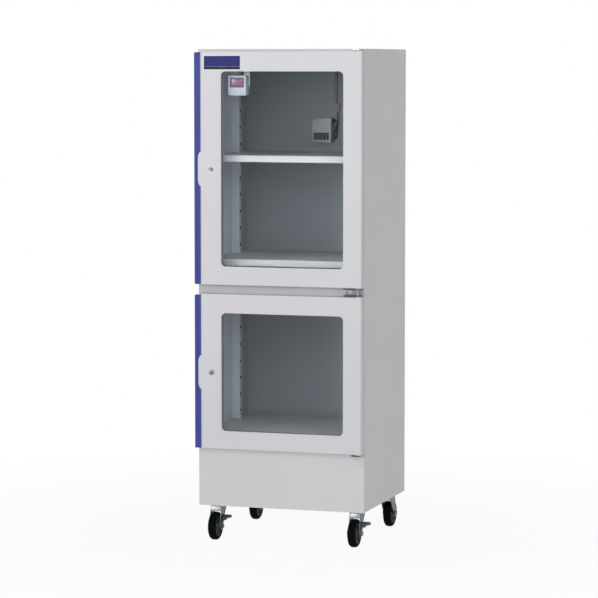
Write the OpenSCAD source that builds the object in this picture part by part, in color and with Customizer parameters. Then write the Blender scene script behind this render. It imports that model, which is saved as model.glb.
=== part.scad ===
// Two-door desiccator cabinet on casters: a folded sheet steel body, glazed
// doors on corner pivots, lift-out shelves, a hanging hygrometer and a dry unit.
// Millimetres. +X is the hinge side, -Y the front, +Z up, Z = 0 the floor.
// Before place() shifts it, x = 0 is the body's middle and y = 0 its front plane.

/* [Body] */
// Width of the body
body_w = 500; // [480:5:560]
// Depth of the body, front plane to back
body_d = 435; // [415:5:500]
// Height of the body's top above the floor
body_top = 1430; // [1430:5:1500]
// Height of the body's lower edge above the floor
body_low = 106; // [102:1:112]
// Thickness of the body's sheet steel
sheet = 1.2; // [0.8:0.1:1.6]
// Width of the folded uprights beside the door openings
stile_w = 34; // [30:1:38]
// Depth of the folds round the door openings
fold_d = 22; // [16:1:24]

/* [Doors] */
// Thickness of a door
door_t = 22.5; // [20:0.5:26]
// Gap between a closed door and the body, taken up by the gasket
door_gap = 6; // [5.8:0.1:7]
// Thickness of the door skin
skin = 1.2; // [0.8:0.1:1.5]
// Lower edge of the upper door
upper_door_low = 752.5; // [740:0.5:760]
// Upper edge of the lower door
lower_door_high = 727.5; // [715:0.5:730]
// Lower edge of the lower door
lower_door_low = 276; // [270:1:285]
// Radius of the window corners
window_r = 13; // [8:1:20]
// Thickness of the glass
glass_t = 3; // [3:0.5:4]
// How far the handle stands out past the body's side
handle_over = 4; // [2:0.5:8]

/* [Inside] */
// Pitch of the slots in the shelf posts
slot_pitch = 50; // [40:5:60]
// Height of a shelf's folded edge
shelf_h = 18.5; // [15:0.5:22]
// Depth of a shelf, front to back
shelf_d = 385; // [350:5:385]

/* [Casters] */
// Diameter of a caster's tyre
tyre_d = 82; // [76:1:84]
// Width of a caster's tyre
tyre_w = 24; // [20:1:25]
// Distance from a caster's swivel axis to its axle
trail = 26; // [20:1:30]
// Height from the floor to the base pan
caster_h = 110; // [110:0.5:114]

/* [Hidden] */
$fn = 48;
eps = 0.01;
run_fit = 0.05;

// ---- body ----
half_w = body_w / 2;
inner_w = half_w - sheet;
stile_x = half_w - stile_w;
top_under = body_top - sheet;
top_rail_low = body_top - 38;
sill_top = lower_door_low + 18;
rail_lap = 17.5;
rail_low = lower_door_high - rail_lap;
rail_high = upper_door_low + rail_lap;
rear_flange = 13;
edge_fold = 10;
bend_r = 2.4;
floor_top = sill_top - sheet;
base_t = 2;
base_flange = 26;
skirt_fold = 14;

// ---- doors: [lower edge, upper edge, window bottom, window top] ----
door_right = half_w - 0.4;
door_left = -half_w + 14;
door_back = -door_gap;
door_front = -door_gap - door_t;
door_top = body_top - 5.5;
rail_below = 54;
UPPER = [upper_door_low, door_top, upper_door_low + rail_below, door_top - 58.5];
LOWER = [lower_door_low, lower_door_high, lower_door_low + rail_below, lower_door_high - 55.5];
window_left = door_left + 65.3;
window_right = door_right - 54.3;
edge_r = 3;
back_r = 0.8;
grip_edge_r = 10;
seal_w = 6;
seal_lap = 1.9;
glass_lap = 4;
glass_y = door_front + skin + 1;
liner_t = 1.2;
liner_return = 11;

// Pivots of both doors
pivot_x = half_w - 13;
pivot_y = door_front + 10;
pin_r = 3;
bush_r = 5;
bush_l = 14;
bush_flange_r = 7;
bush_flange_t = 1.6;
bush_gap = 2;
boss_w = 16;

// Gasket ring on a door's back
gasket_w = 10;
gasket_in = 4;
gasket_base = 2;
gasket_bulb = 7;
gasket_clear = 0.3;

// Full-height handle beside a door
handle_left = -half_w - handle_over;
handle_front = door_front + 3.5;
handle_t = 3;
handle_lip = 6;
handle_web = 16.5;
handle_low_gap = 1.5;
handle_top_gap = 3.5;
handle_nose_r = 6;

// Lock, with the raised tab that carries the door skin out over the handle
LOCK_Z = [UPPER[0] + 334, LOWER[0] + 223.5];
lock_x = -half_w + 49;
lock_face_r = 9.5;
lock_face_t = 1.5;
barrel_r = 8;
barrel_back = door_back + 2;
plug_r = 6;
plug_sunk = 0.5;
nut_r = 12;
nut_t = 3;
key_slot = [1.4, 7, 3];
cam_gap = 0.9;
cam_t = 2;
cam_w = 12;
cam_l = 32;
cam_y = sheet + cam_gap;
cam_screw_r = 4.5;
tab_reach = 7;
tab_h = 96;
tab_ramp = 15;
tab_t = 6.5;
tab_root = 14;
keeper = [2 * sheet + 2, 9, 48];
keeper_drop = 12;

// ---- shelf posts, shelves and clips ----
post_w = 20;
post_face = half_w - 25;
post_t = 1.5;
POST_Y = [60, 293];
post_top = top_rail_low + 14;
slot_size = [6, 8];
slot_first = floor_top + 5.5;
slot_count = floor((post_top - slot_first - 20) / slot_pitch) + 1;
shelf_x = inner_w - 4.8;
shelf_y = 26;
shelf_t = 1.2;
shelf_hem = 9;
notch_gap = 3;
notch_x = post_face - 5;
clip_rise = 7.5;
clip_drop = 4.5;
clip_t = 1.8;
clip_w = 12;
clip_reach = 15;
clip_hook = 3;
// Slot that each shelf's clips sit in, counted from the floor
SHELF_SLOT = [0, 10, 16];

// ---- hinges ----
plate_t = 2.3;
ear_front = pivot_y - 8.5;
ear_right = pivot_x + 6;
ear_corner_r = 5;
MID_EAR = [lower_door_high + bush_gap, upper_door_low - bush_gap];
mid_bracket_w = 50;
low_bracket_w = 25;
low_bracket_h = 38;
top_bracket_w = 23;
top_bracket_back = 30;
ear_top = door_top + bush_gap;
screw_r = 3.6;
screw_t = 1.6;
screw_recess = [1, 5];
pin_head_r = 4.2;
pin_head_t = 1.2;

// ---- hygrometer ----
hygro_size = [54, 26, 57];
hygro_x = -133;
hygro_y = 4;
hygro_top = body_top - 76;
hygro_r = 4;
hygro_wall = 2.2;
display_size = [43, 29];
display_drop = 5.5;
hanger_t = 1.2;
HANGER = [[-23, 13], [11, 20]];

// ---- dry unit on the back wall ----
wall_y = body_d - sheet;
dry_size = [60, 40, 73.5];
dry_low = body_top - 277.5;
dry_cut = [12, 13.5];
dry_r = 2.5;
grille_size = [49, 22];
grille_low = 8;
grille_t = 3;
grille_slats = 5;
grille_rows = 3;
louvre_gap = 0.7;
gland_z = dry_size[2] - 9;
gland_out = 16.5;
gland_r = 5;
gland_l = 6;
race_x = 34.5;
race_size = [11.5, 12];
race_low = body_top - 162;
plug_box = [13, 12, 24];
plug_box_x = 41.5;
cable_r = 1.9;
cable_sides = 8;
// Route of the dry unit's lead: x, distance from the back wall, height above the unit's underside
CABLE = [[41.5, 8, 91.5], [41.5, 8, 84], [42, 8, 72], [42.6, 8, 58], [43, 8, 44], [42.8, 8, 31],
         [42.2, 9, 21], [40.2, 10, 13.5], [37, 12, 11], [34, 14, 14], [32.8, 15, 22], [33, 16, 31],
         [34.6, 16.5, 40], [37.4, 16.5, 48], [40.2, 16.5, 54], [41.6, 16.5, 59], [40.9, 16.5, 63],
         [38.4, 16.5, 64.5], [36, 16.5, 64.5]];

// ---- outside of the back ----
vent_size = [96, 92];
vent_z = dry_low + 36;
vent_proud = 9;
vent_slots = 7;
inlet_z = body_top - 45;
inlet_nut_r = 10;
inlet_l = 12;
inlet_bore_r = 3.6;

// ---- casters: [x, y, direction of the trail] ----
caster_x = half_w - 38;
caster_front = 60;
caster_rear = body_d - 51.5;
CASTERS = [[-caster_x, caster_front, -1], [caster_x, caster_front, -1],
           [-caster_x, caster_rear, 1], [caster_x, caster_rear, 1]];
tyre_r = tyre_d / 2;
hub_r = 29.5;
plate_size = [62, 80];
caster_plate_t = 2.5;
plate_hole_r = 4.25;
plate_pitch = [44, 62];
race_r = 23;
race_h = 8;
king_r = 5;
fork_gap = 0.5;
crown_z = caster_h - caster_plate_t - race_h - fork_gap;
crown_t = 3;
crown_r = 24;
leg_t = 2.5;
leg_x = tyre_w / 2 + 2.5;
leg_foot_r = 10;
axle_r = 4;
bolt_r = 7;
bolt_t = 4.5;
sleeve_r = 6;
lever_t = 3;
sleeve_l = lever_t + 0.8;
pedal_at = [23, 24];
pedal_w = 17;
pedal_t = 4;
pedal_l = 24;
tyre_round = 6;

lever_x = leg_x + leg_t + 0.4;
x_right = caster_x + lever_x + pedal_l;
shift_x = -(handle_left + x_right) / 2;
y_front = door_front - lock_face_t;
y_back = max(caster_rear + trail + tyre_r, body_d + inlet_l);
shift_y = -(y_front + y_back) / 2;

PAINT = "#d6d6da";
DOOR_PAINT = "#dcdce0";
INNER_PAINT = "#8f9496";
SHELF_PAINT = "#d5d8d8";
BLUE = "#474f9c";
ZINC = "#b9bcc0";
BLACK = "#26282b";
DARK = "#5c5f66";

// ---- shared helpers ----

// Everything stands in the row frame through this
module place() translate([shift_x, shift_y, 0]) children();

// Lays an x, z outline in the front plane, t thick from y towards the back
module front_plate(y, t) translate([0, y + t, 0]) rotate([90, 0, 0]) linear_extrude(t) children();

// Runs a y, z outline along X from x
module along_x(x, l) translate([x, 0, 0]) rotate([90, 0, 90]) linear_extrude(l) children();

// Rod along Y from y towards the back
module rod_y(x, y, z, r, l) translate([x, y, z]) rotate([-90, 0, 0]) cylinder(r = r, h = l);

// Square from the origin with its own radius at each corner: near, right, far, left
module soft_square(size, radii) {
    corners = [[0, 0, 0], [size[0], 0, 90], [size[0], size[1], 180], [0, size[1], 270]];
    difference() {
        square(size);
        for (i = [0:3]) if (radii[i] > 0) translate([corners[i][0], corners[i][1]])
            rotate(corners[i][2]) difference() {
                translate([-eps, -eps]) square(radii[i] + eps);
                translate([radii[i], radii[i]]) circle(radii[i]);
            }
    }
}

// Mirrors its children to the other side of the body
module both_sides() {
    children();
    mirror([1, 0, 0]) children();
}

// ---- body panels ----

// Section of a side panel seen from above: sheet, front stile with its fold, rear flange
module side_section() {
    difference() {
        translate([stile_x, 0]) soft_square([stile_w, body_d - sheet], [0, bend_r, 0, 0]);
        translate([stile_x + sheet, sheet])
            soft_square([stile_w - 2 * sheet, body_d], [0, bend_r - sheet, 0, 0]);
        translate([stile_x - eps, fold_d]) square([stile_w - sheet, body_d]);
    }
    translate([half_w - rear_flange, body_d - 2 * sheet]) square([rear_flange - sheet + eps, sheet]);
}

module side_panel() {
    translate([0, 0, sill_top]) linear_extrude(top_under - sill_top) side_section();
    translate([inner_w, 0, body_low]) cube([sheet, body_d - sheet, sill_top - body_low + eps]);
    translate([inner_w - edge_fold, skirt_fold + 1, body_low])
        cube([edge_fold + eps, body_d - skirt_fold - 2 * sheet - 1, sheet]);
}

// The right panel's fold is let in for the top hinge bracket
module right_side_panel() color(PAINT) difference() {
    side_panel();
    translate([stile_x - eps, -eps, ear_top])
        cube([ear_right - stile_x + 2 * eps, top_bracket_back + 1, plate_t + eps]);
}

// The left panel's fold is slotted where the lock cams turn in behind it
module left_side_panel() color(PAINT) difference() {
    mirror([1, 0, 0]) side_panel();
    for (z = LOCK_Z) translate([-stile_x - keeper[0] / 2, sheet + 0.4, z - keeper_drop - keeper[2] / 2])
        cube(keeper);
}

module top_panel() color(PAINT) {
    along_x(-half_w, body_w) translate([0, top_under]) square([body_d, sheet]);
    along_x(-stile_x, 2 * stile_x) difference() {
        translate([0, top_rail_low]) square([fold_d, top_under - top_rail_low + eps]);
        translate([sheet, top_rail_low + sheet]) square([fold_d, top_under - top_rail_low]);
    }
    both_sides() translate([inner_w - sheet, fold_d + 2, top_under - base_flange / 2])
        cube([sheet, body_d - fold_d - rear_flange - 4, base_flange / 2 + eps]);
}

module back_panel() color(PAINT) difference() {
    translate([-half_w, body_d - sheet, body_low]) cube([body_w, sheet, top_under - body_low]);
    translate([-dry_size[0] / 4, body_d - sheet - 1, vent_z - dry_size[0] / 4])
        cube([dry_size[0] / 2, sheet + 2, dry_size[0] / 2]);
    rod_y(race_x, body_d - sheet - 1, inlet_z, gland_r, sheet + 2);
}

// Pan that closes the plinth and carries the casters
module base_pan() color(PAINT) difference() {
    translate([-inner_w, sheet, caster_h])
        cube([2 * inner_w, body_d - 2 * sheet, base_flange]);
    translate([-inner_w + base_t, sheet + base_t, caster_h + base_t])
        cube([2 * (inner_w - base_t), body_d - 2 * sheet - 2 * base_t, base_flange]);
}

// Apron below the lower door, folded back at its foot and at the sill
module front_skirt() color(PAINT) along_x(-inner_w, 2 * inner_w) {
    translate([0, body_low]) square([sheet, sill_top - body_low]);
    translate([0, body_low]) square([skirt_fold, sheet]);
    translate([0, floor_top]) square([fold_d, sheet]);
    translate([fold_d - sheet, floor_top - edge_fold]) square([sheet, edge_fold + eps]);
}

// Cross-member between the two door openings
module mid_rail() color(PAINT) along_x(-stile_x, 2 * stile_x) difference() {
    translate([0, rail_low]) square([fold_d, rail_high - rail_low]);
    translate([sheet, rail_low + sheet]) square([fold_d, rail_high - rail_low - 2 * sheet]);
}

module chamber_floor() color(INNER_PAINT) {
    translate([-inner_w, fold_d, floor_top - sheet])
        cube([2 * inner_w, wall_y - fold_d, sheet]);
    both_sides() translate([inner_w - sheet, fold_d, floor_top - skirt_fold])
        cube([sheet, wall_y - fold_d, skirt_fold - sheet + eps]);
}

// ---- shelf posts, clips and shelves ----

function slot_z(i) = slot_first + i * slot_pitch;

// Slotted channel standing against the side wall
module shelf_post() {
    difference() {
        translate([post_face, 0, floor_top]) cube([inner_w - post_face, post_w, post_top - floor_top]);
        translate([post_face + post_t, post_t, floor_top - 1])
            cube([inner_w, post_w - 2 * post_t, post_top - floor_top + 2]);
        for (i = [0:slot_count - 1])
            translate([post_face - 1, (post_w - slot_size[0]) / 2, slot_z(i) - slot_size[1] / 2])
                cube([post_t + 2, slot_size[0], slot_size[1]]);
    }
}

module shelf_posts() color(INNER_PAINT) both_sides()
    for (y = POST_Y) translate([0, y, 0]) shelf_post();

function shelf_under(i) = slot_z(SHELF_SLOT[i]) + clip_rise;

// Clip hooked through a slot, with a ledge for the shelf's edge
module shelf_clip(z) {
    front = post_face - clip_t;
    translate([0, (post_w + clip_w) / 2, 0]) rotate([90, 0, 0]) linear_extrude(clip_w) {
        translate([front, z - clip_drop]) square([clip_t, clip_drop + clip_rise]);
        translate([front - clip_reach, z + clip_rise - clip_t]) square([clip_reach + eps, clip_t]);
    }
    translate([front, (post_w - slot_size[0]) / 2 + 0.5, z - 2]) {
        cube([clip_t + post_t + clip_t, slot_size[0] - 1, 4]);
        translate([clip_t + post_t, 0, -clip_hook]) cube([clip_t, slot_size[0] - 1, clip_hook + 1]);
    }
}

module shelf_clips() color(ZINC) both_sides()
    for (y = POST_Y, i = [0:2]) translate([0, y, 0]) shelf_clip(slot_z(SHELF_SLOT[i]));

// Outline of a shelf from above, notched round the posts and drawn in by inset
module shelf_outline(inset = 0) difference() {
    translate([-shelf_x + inset, shelf_y + inset]) square([2 * (shelf_x - inset), shelf_d - 2 * inset]);
    both_sides() for (y = POST_Y) translate([notch_x - inset, y - notch_gap - inset])
        square([inner_w, post_w + 2 * (notch_gap + inset)]);
}

// Tray turned down all round, with its front and back edges hemmed under
module shelf(i) color(SHELF_PAINT) translate([0, 0, shelf_under(i)]) {
    difference() {
        linear_extrude(shelf_h) shelf_outline();
        translate([0, 0, -1]) linear_extrude(shelf_h - shelf_t + 1) shelf_outline(shelf_t);
    }
    for (y = [shelf_y + shelf_t - eps, shelf_y + shelf_d - shelf_hem])
        translate([-shelf_x + shelf_t - eps, y, 0])
            cube([2 * (shelf_x - shelf_t + eps), shelf_hem - shelf_t + eps, shelf_t]);
}

module lower_shelf() shelf(0);
module middle_shelf() shelf(1);
module upper_shelf() shelf(2);

// ---- hinges ----

// Ear seen from above: plate with its free corner rounded
module ear(w, back, bored = true) difference() {
    translate([ear_right - w, ear_front])
        soft_square([w, back - ear_front], [ear_corner_r, ear_corner_r, 0, 0]);
    if (bored) translate([pivot_x, pivot_y]) circle(pin_r);
}

module top_hinge_bracket() color(ZINC)
    translate([0, 0, ear_top]) linear_extrude(plate_t) ear(top_bracket_w, top_bracket_back);

module middle_hinge_bracket() color(ZINC) {
    for (z = [MID_EAR[0], MID_EAR[1] - plate_t])
        translate([0, 0, z]) linear_extrude(plate_t) ear(mid_bracket_w, 0);
    translate([ear_right - mid_bracket_w, -plate_t, MID_EAR[0]])
        cube([mid_bracket_w, plate_t, MID_EAR[1] - MID_EAR[0]]);
}

module bottom_hinge_bracket() color(PAINT) {
    ear_z = lower_door_low - bush_gap - plate_t;
    translate([0, 0, ear_z]) linear_extrude(plate_t) ear(low_bracket_w, 0);
    translate([ear_right - low_bracket_w, -plate_t, ear_z + plate_t - low_bracket_h])
        cube([low_bracket_w, plate_t, low_bracket_h]);
}

// Three pins pressed into the brackets: top, shared middle, bottom
module hinge_pins() color(ZINC) translate([pivot_x, pivot_y, 0]) {
    translate([0, 0, door_top - bush_l]) cylinder(r = pin_r, h = bush_l + bush_gap + plate_t);
    translate([0, 0, ear_top + plate_t]) cylinder(r = pin_head_r, h = pin_head_t);
    translate([0, 0, lower_door_high - bush_l])
        cylinder(r = pin_r, h = upper_door_low - lower_door_high + 2 * bush_l);
    translate([0, 0, lower_door_low - bush_gap - plate_t - pin_head_t])
        cylinder(r = pin_head_r, h = pin_head_t);
    translate([0, 0, lower_door_low - bush_gap - plate_t])
        cylinder(r = pin_r, h = bush_l + bush_gap + plate_t);
}

// Round-headed screw seen from the front, with a cross recess
module screw(x, z) difference() {
    rod_y(x, -plate_t - screw_t, z, screw_r, screw_t);
    for (a = [45, 135]) translate([x, -plate_t - screw_t, z]) rotate([0, a, 0])
        cube([screw_recess[0], screw_recess[0] * 2, screw_recess[1]], center = true);
}

module hinge_screws() color(ZINC) {
    mid_z = (MID_EAR[0] + MID_EAR[1]) / 2;
    low_z = lower_door_low - bush_gap - low_bracket_h;
    for (k = [-1:1]) screw(ear_right - mid_bracket_w / 2 + k * 19, mid_z);
    for (k = [8, 22]) screw(ear_right - low_bracket_w / 2, low_z + k);
}

// ---- doors ----

// Section of a door seen from above, drawn in by inset and run out through the back when open
module door_section(inset = 0, run_out = 0)
    translate([door_left + inset, door_front + inset])
        soft_square([door_right - door_left - 2 * inset, door_t - inset + run_out],
                    [grip_edge_r - inset, edge_r - inset, run_out > 0 ? 0 : back_r, 0]);

// Solid of a door with its four front edges rounded
module door_block(d, inset = 0, run_out = 0) intersection() {
    translate([0, 0, d[0] + inset]) linear_extrude(d[1] - d[0] - 2 * inset)
        door_section(inset, run_out);
    along_x(door_left - 1, door_right - door_left + 2)
        translate([door_front + inset, d[0] + inset])
            soft_square([door_t - inset + run_out, d[1] - d[0] - 2 * inset],
                        [edge_r - inset, 0, 0, edge_r - inset]);
}

// Window outline, grown outwards by grow
module window(d, grow = 0) {
    w = window_right - window_left + 2 * grow;
    h = d[3] - d[2] + 2 * grow;
    r = window_r + grow;
    translate([window_left - grow, d[2] - grow]) soft_square([w, h], [r, r, r, r]);
}

// Raised tab at the lock: the door's rounded edge carried out over the handle between two ramps
module lock_tab(z) intersection() {
    front_plate(door_front, tab_t) translate([door_left + tab_root, z]) polygon([
        [0, -tab_h / 2], [-tab_root, -tab_h / 2], [-tab_root - tab_reach, -tab_h / 2 + tab_ramp],
        [-tab_root - tab_reach, tab_h / 2 - tab_ramp], [-tab_root, tab_h / 2], [0, tab_h / 2]]);
    translate([door_left - tab_reach, door_front, z - tab_h / 2]) linear_extrude(tab_h)
        soft_square([tab_root + tab_reach, tab_t], [tab_t - 1, 0, 0, 0]);
}

module door_panel(d, lock_z) color(DOOR_PAINT) difference() {
    union() {
        difference() {
            union() {
                door_block(d);
                lock_tab(lock_z);
            }
            door_block(d, skin, 1);
        }
        // blocks that carry the hinge bushes
        intersection() {
            door_block(d, skin / 2);
            for (z = [d[0], d[1] - bush_l - 1]) translate([pivot_x - boss_w / 2, pivot_y - boss_w, z])
                cube([boss_w * 2, door_back - pivot_y + boss_w - liner_t - 0.5, bush_l + 1]);
        }
    }
    front_plate(door_front - 1, skin + 2) window(d);
    rod_y(lock_x, door_front - 1, lock_z, barrel_r, skin + 2);
    for (z = [d[0] - 1, d[1] - bush_l]) translate([pivot_x, pivot_y, z])
        cylinder(r = bush_r, h = bush_l + 1);
}

// Inner frame that closes the door's back and returns forward round the glazing
module door_liner(d, lock_z) color(DOOR_PAINT) {
    inset = skin + 0.2;
    difference() {
        front_plate(door_back - liner_t, liner_t) difference() {
            translate([door_left + inset, d[0] + inset])
                square([door_right - door_left - 2 * inset, d[1] - d[0] - 2 * inset]);
            window(d, seal_w);
        }
        rod_y(lock_x, door_back - liner_t - 1, lock_z, barrel_r, liner_t + 2);
    }
    front_plate(door_back - liner_t - liner_return, liner_return + eps) difference() {
        window(d, seal_w + liner_t);
        window(d, seal_w);
    }
}

module door_glass(d) color([0.75, 0.82, 0.85, 0.35]) front_plate(glass_y, glass_t) window(d, glass_lap);

// Rubber channel round the glass, which lines the window's edge
module glazing_seal(d) color(DARK) difference() {
    front_plate(door_front + skin, door_t - skin - seal_lap) difference() {
        window(d, seal_w);
        window(d);
    }
    front_plate(glass_y, glass_t) window(d, glass_lap);
}

// Ring outline of a gasket, narrowed by trim on both sides
module gasket_ring(d, trim) {
    left = door_left + gasket_in;
    w = pivot_x - 1 - left;
    h = d[1] - d[0] - 2 * gasket_in;
    translate([left, d[0] + gasket_in]) difference() {
        translate([trim, trim]) square([w - 2 * trim, h - 2 * trim]);
        translate([gasket_w - trim, gasket_w - trim])
            square([w - 2 * gasket_w + 2 * trim, h - 2 * gasket_w + 2 * trim]);
    }
}

module door_gasket(d) color(BLACK) {
    front_plate(door_back, gasket_base) gasket_ring(d, 0);
    front_plate(door_back + gasket_base - eps, door_gap - gasket_base - gasket_clear)
        gasket_ring(d, (gasket_w - gasket_bulb) / 2);
}

// Section of the handle seen from above: front wall, nose turned back, web on the door's side
module handle_section() difference() {
    union() {
        translate([handle_left, handle_front])
            soft_square([door_left + grip_edge_r / 2 - handle_left, handle_t], [handle_t - 0.8, 0, 0, 0]);
        translate([handle_left, handle_front]) soft_square([handle_t, handle_lip],
            [handle_t - 0.8, 0, handle_t / 2 - 0.1, handle_t / 2 - 0.1]);
        translate([door_left - handle_t, handle_front]) square([handle_t, handle_web]);
    }
    door_section();
}

module door_handle(d, lock_z) color(BLUE) {
    low = d[0] + handle_low_gap;
    h = d[1] - handle_top_gap - low;
    difference() {
        intersection() {
            translate([0, 0, low]) linear_extrude(h) handle_section();
            front_plate(handle_front - 1, handle_web + 2) translate([handle_left, low])
                soft_square([grip_edge_r * 3, h], [2, 0, 0, handle_nose_r]);
        }
        lock_tab(lock_z);
    }
}

// Flanged bushes pressed into the door's lower and upper ends
module door_bushes(d) color("white") for (side = [0, 1])
    translate([pivot_x, pivot_y, d[side]]) mirror([0, 0, side]) difference() {
        union() {
            cylinder(r = bush_r, h = bush_l);
            translate([0, 0, -bush_flange_t]) cylinder(r = bush_flange_r, h = bush_flange_t);
        }
        translate([0, 0, -bush_flange_t - 1])
            cylinder(r = pin_r + run_fit, h = bush_l + bush_flange_t + 2);
    }

// ---- locks ----

module lock_body(z) color(ZINC) difference() {
    union() {
        rod_y(lock_x, door_front - lock_face_t, z, lock_face_r, lock_face_t);
        rod_y(lock_x, door_front - eps, z, barrel_r, barrel_back - door_front);
        translate([lock_x, door_front + skin, z]) rotate([-90, 0, 0]) cylinder(r = nut_r, h = nut_t, $fn = 6);
    }
    rod_y(lock_x, door_front - lock_face_t - 1, z, plug_r + run_fit, barrel_back - door_front + lock_face_t + 2);
}

// Key plug with its cam, drawn unlocked: the cam hangs down, clear of the body's fold
module lock_plug(z) color(ZINC) {
    plug_front = door_front - lock_face_t + plug_sunk;
    difference() {
        rod_y(lock_x, plug_front, z, plug_r, cam_y - plug_front);
        translate([lock_x - key_slot[0] / 2, plug_front - 1, z - key_slot[1] / 2])
            cube([key_slot[0], key_slot[2] + 1, key_slot[1]]);
    }
    front_plate(cam_y, cam_t) translate([lock_x, z]) {
        circle(cam_w / 2 + 1);
        translate([-cam_w / 2, -cam_l]) soft_square([cam_w, cam_l], [3, 3, 0, 0]);
    }
    rod_y(lock_x, cam_y + cam_t, z, cam_screw_r, screw_t);
}

module upper_door_panel() door_panel(UPPER, LOCK_Z[0]);
module upper_door_liner() door_liner(UPPER, LOCK_Z[0]);
module upper_door_glass() door_glass(UPPER);
module upper_glazing_seal() glazing_seal(UPPER);
module upper_door_gasket() door_gasket(UPPER);
module upper_door_handle() door_handle(UPPER, LOCK_Z[0]);
module upper_door_bushes() door_bushes(UPPER);
module upper_lock_body() lock_body(LOCK_Z[0]);
module upper_lock_plug() lock_plug(LOCK_Z[0]);

module lower_door_panel() door_panel(LOWER, LOCK_Z[1]);
module lower_door_liner() door_liner(LOWER, LOCK_Z[1]);
module lower_door_glass() door_glass(LOWER);
module lower_glazing_seal() glazing_seal(LOWER);
module lower_door_gasket() door_gasket(LOWER);
module lower_door_handle() door_handle(LOWER, LOCK_Z[1]);
module lower_door_bushes() door_bushes(LOWER);
module lower_lock_body() lock_body(LOCK_Z[1]);
module lower_lock_plug() lock_plug(LOCK_Z[1]);

// ---- hygrometer ----

module display_outline(grow = 0)
    translate([hygro_x - display_size[0] / 2 - grow, hygro_top - display_drop - display_size[1] - grow])
        square([display_size[0] + 2 * grow, display_size[1] + 2 * grow]);

module hygrometer_case() color("#cfd6de") difference() {
    front_plate(hygro_y, hygro_size[1])
        translate([hygro_x - hygro_size[0] / 2, hygro_top - hygro_size[2]])
            soft_square([hygro_size[0], hygro_size[2]], [hygro_r, hygro_r, hygro_r, hygro_r]);
    front_plate(hygro_y - 1, hygro_wall + 1) display_outline();
}

module hygrometer_display() color("#7d7486") front_plate(hygro_y + 1, hygro_wall - 1) display_outline(-0.1);

// Two straps from the head rail's fold down behind the case
module hygrometer_hanger() color("#aeb4b4") {
    strap_y = hygro_y + hygro_size[1];
    for (s = HANGER) translate([hygro_x + s[0], strap_y, hygro_top - hygro_size[2] / 2])
        cube([s[1], hanger_t, top_rail_low - hygro_top + hygro_size[2] / 2]);
    translate([hygro_x + HANGER[0][0], sheet + 4, top_rail_low - hanger_t])
        cube([HANGER[1][0] + HANGER[1][1] - HANGER[0][0], strap_y - sheet - 4 + hanger_t, hanger_t]);
}

// ---- dry unit ----

module dry_unit_housing() color("#8d9194") {
    w = dry_size[0];
    h = dry_size[2];
    difference() {
        front_plate(wall_y - dry_size[1], dry_size[1]) translate([0, dry_low]) difference() {
            translate([-w / 2, 0]) soft_square([w, h], [dry_r, dry_r, dry_r, 0]);
            translate([-w / 2, h]) polygon([[-1, 1], [dry_cut[0], 1], [dry_cut[0], 0], [0, -dry_cut[1]],
                                            [-1, -dry_cut[1]]]);
        }
        front_plate(wall_y - dry_size[1] - 1, grille_t + 1) translate([-grille_size[0] / 2, dry_low + grille_low])
            square(grille_size);
    }
    translate([w / 2 - eps, wall_y - gland_out, dry_low + gland_z]) rotate([0, 90, 0])
        cylinder(r1 = gland_r, r2 = gland_r - 1.5, h = gland_l);
}

// Insert of upright slots in rows, set into the housing's face
module dry_unit_grille() color(BLACK) {
    cell = grille_size[0] / grille_slats;
    row = (grille_size[1] - 2) / grille_rows;
    difference() {
        front_plate(wall_y - dry_size[1] + 0.2, grille_t - 0.2)
            translate([-grille_size[0] / 2 + 0.1, dry_low + grille_low + 0.1])
                square([grille_size[0] - 0.2, grille_size[1] - 0.2]);
        for (i = [0:grille_slats - 1], j = [0:grille_rows - 1])
            translate([-grille_size[0] / 2 + (i + 0.2) * cell, wall_y - dry_size[1] - 1,
                       dry_low + grille_low + 1 + (j + 0.15) * row])
                cube([cell * 0.6, grille_t, row * 0.7]);
    }
}

// Direction of the lead at point i of its route
function lead_way(i) =
    let (d = CABLE[min(i + 1, len(CABLE) - 1)] - CABLE[max(i - 1, 0)]) d / norm(d);

// Point k of the ring that stands across the route at point i
function lead_ring(i, k) =
    let (w = lead_way(i), across = cross(w, [0, 1, 0]), u = across / norm(across), v = cross(w, u),
         a = 360 * k / cable_sides)
    CABLE[i] + cable_r * (cos(a) * u + sin(a) * v);

// Tube swept along the lead's route
module dry_unit_lead() color("#3a3c40") {
    n = len(CABLE);
    walls = [for (i = [0:n - 2], k = [0:cable_sides - 1])
        let (a = i * cable_sides + k, b = i * cable_sides + (k + 1) % cable_sides)
        [a, b, b + cable_sides, a + cable_sides]];
    first = [for (k = [cable_sides - 1:-1:0]) k];
    last = [for (k = [0:cable_sides - 1]) (n - 1) * cable_sides + k];
    translate([0, wall_y, dry_low]) mirror([0, 1, 0])
        polyhedron([for (i = [0:n - 1], k = [0:cable_sides - 1]) lead_ring(i, k)],
                   concat(walls, [first], [last]));
}

// Raceway down the back wall, ending in the connector that the lead hangs from
module cable_raceway() color("#4c4f55") {
    translate([race_x - race_size[0] / 2, wall_y - race_size[1], race_low])
        cube([race_size[0], race_size[1], top_under - race_low]);
    translate([plug_box_x - plug_box[0] / 2, wall_y - plug_box[1] - 1.5, race_low - plug_box[2]])
        cube([plug_box[0], plug_box[1] + 1.5, plug_box[2] + 3]);
}

// ---- outside of the back ----

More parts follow.
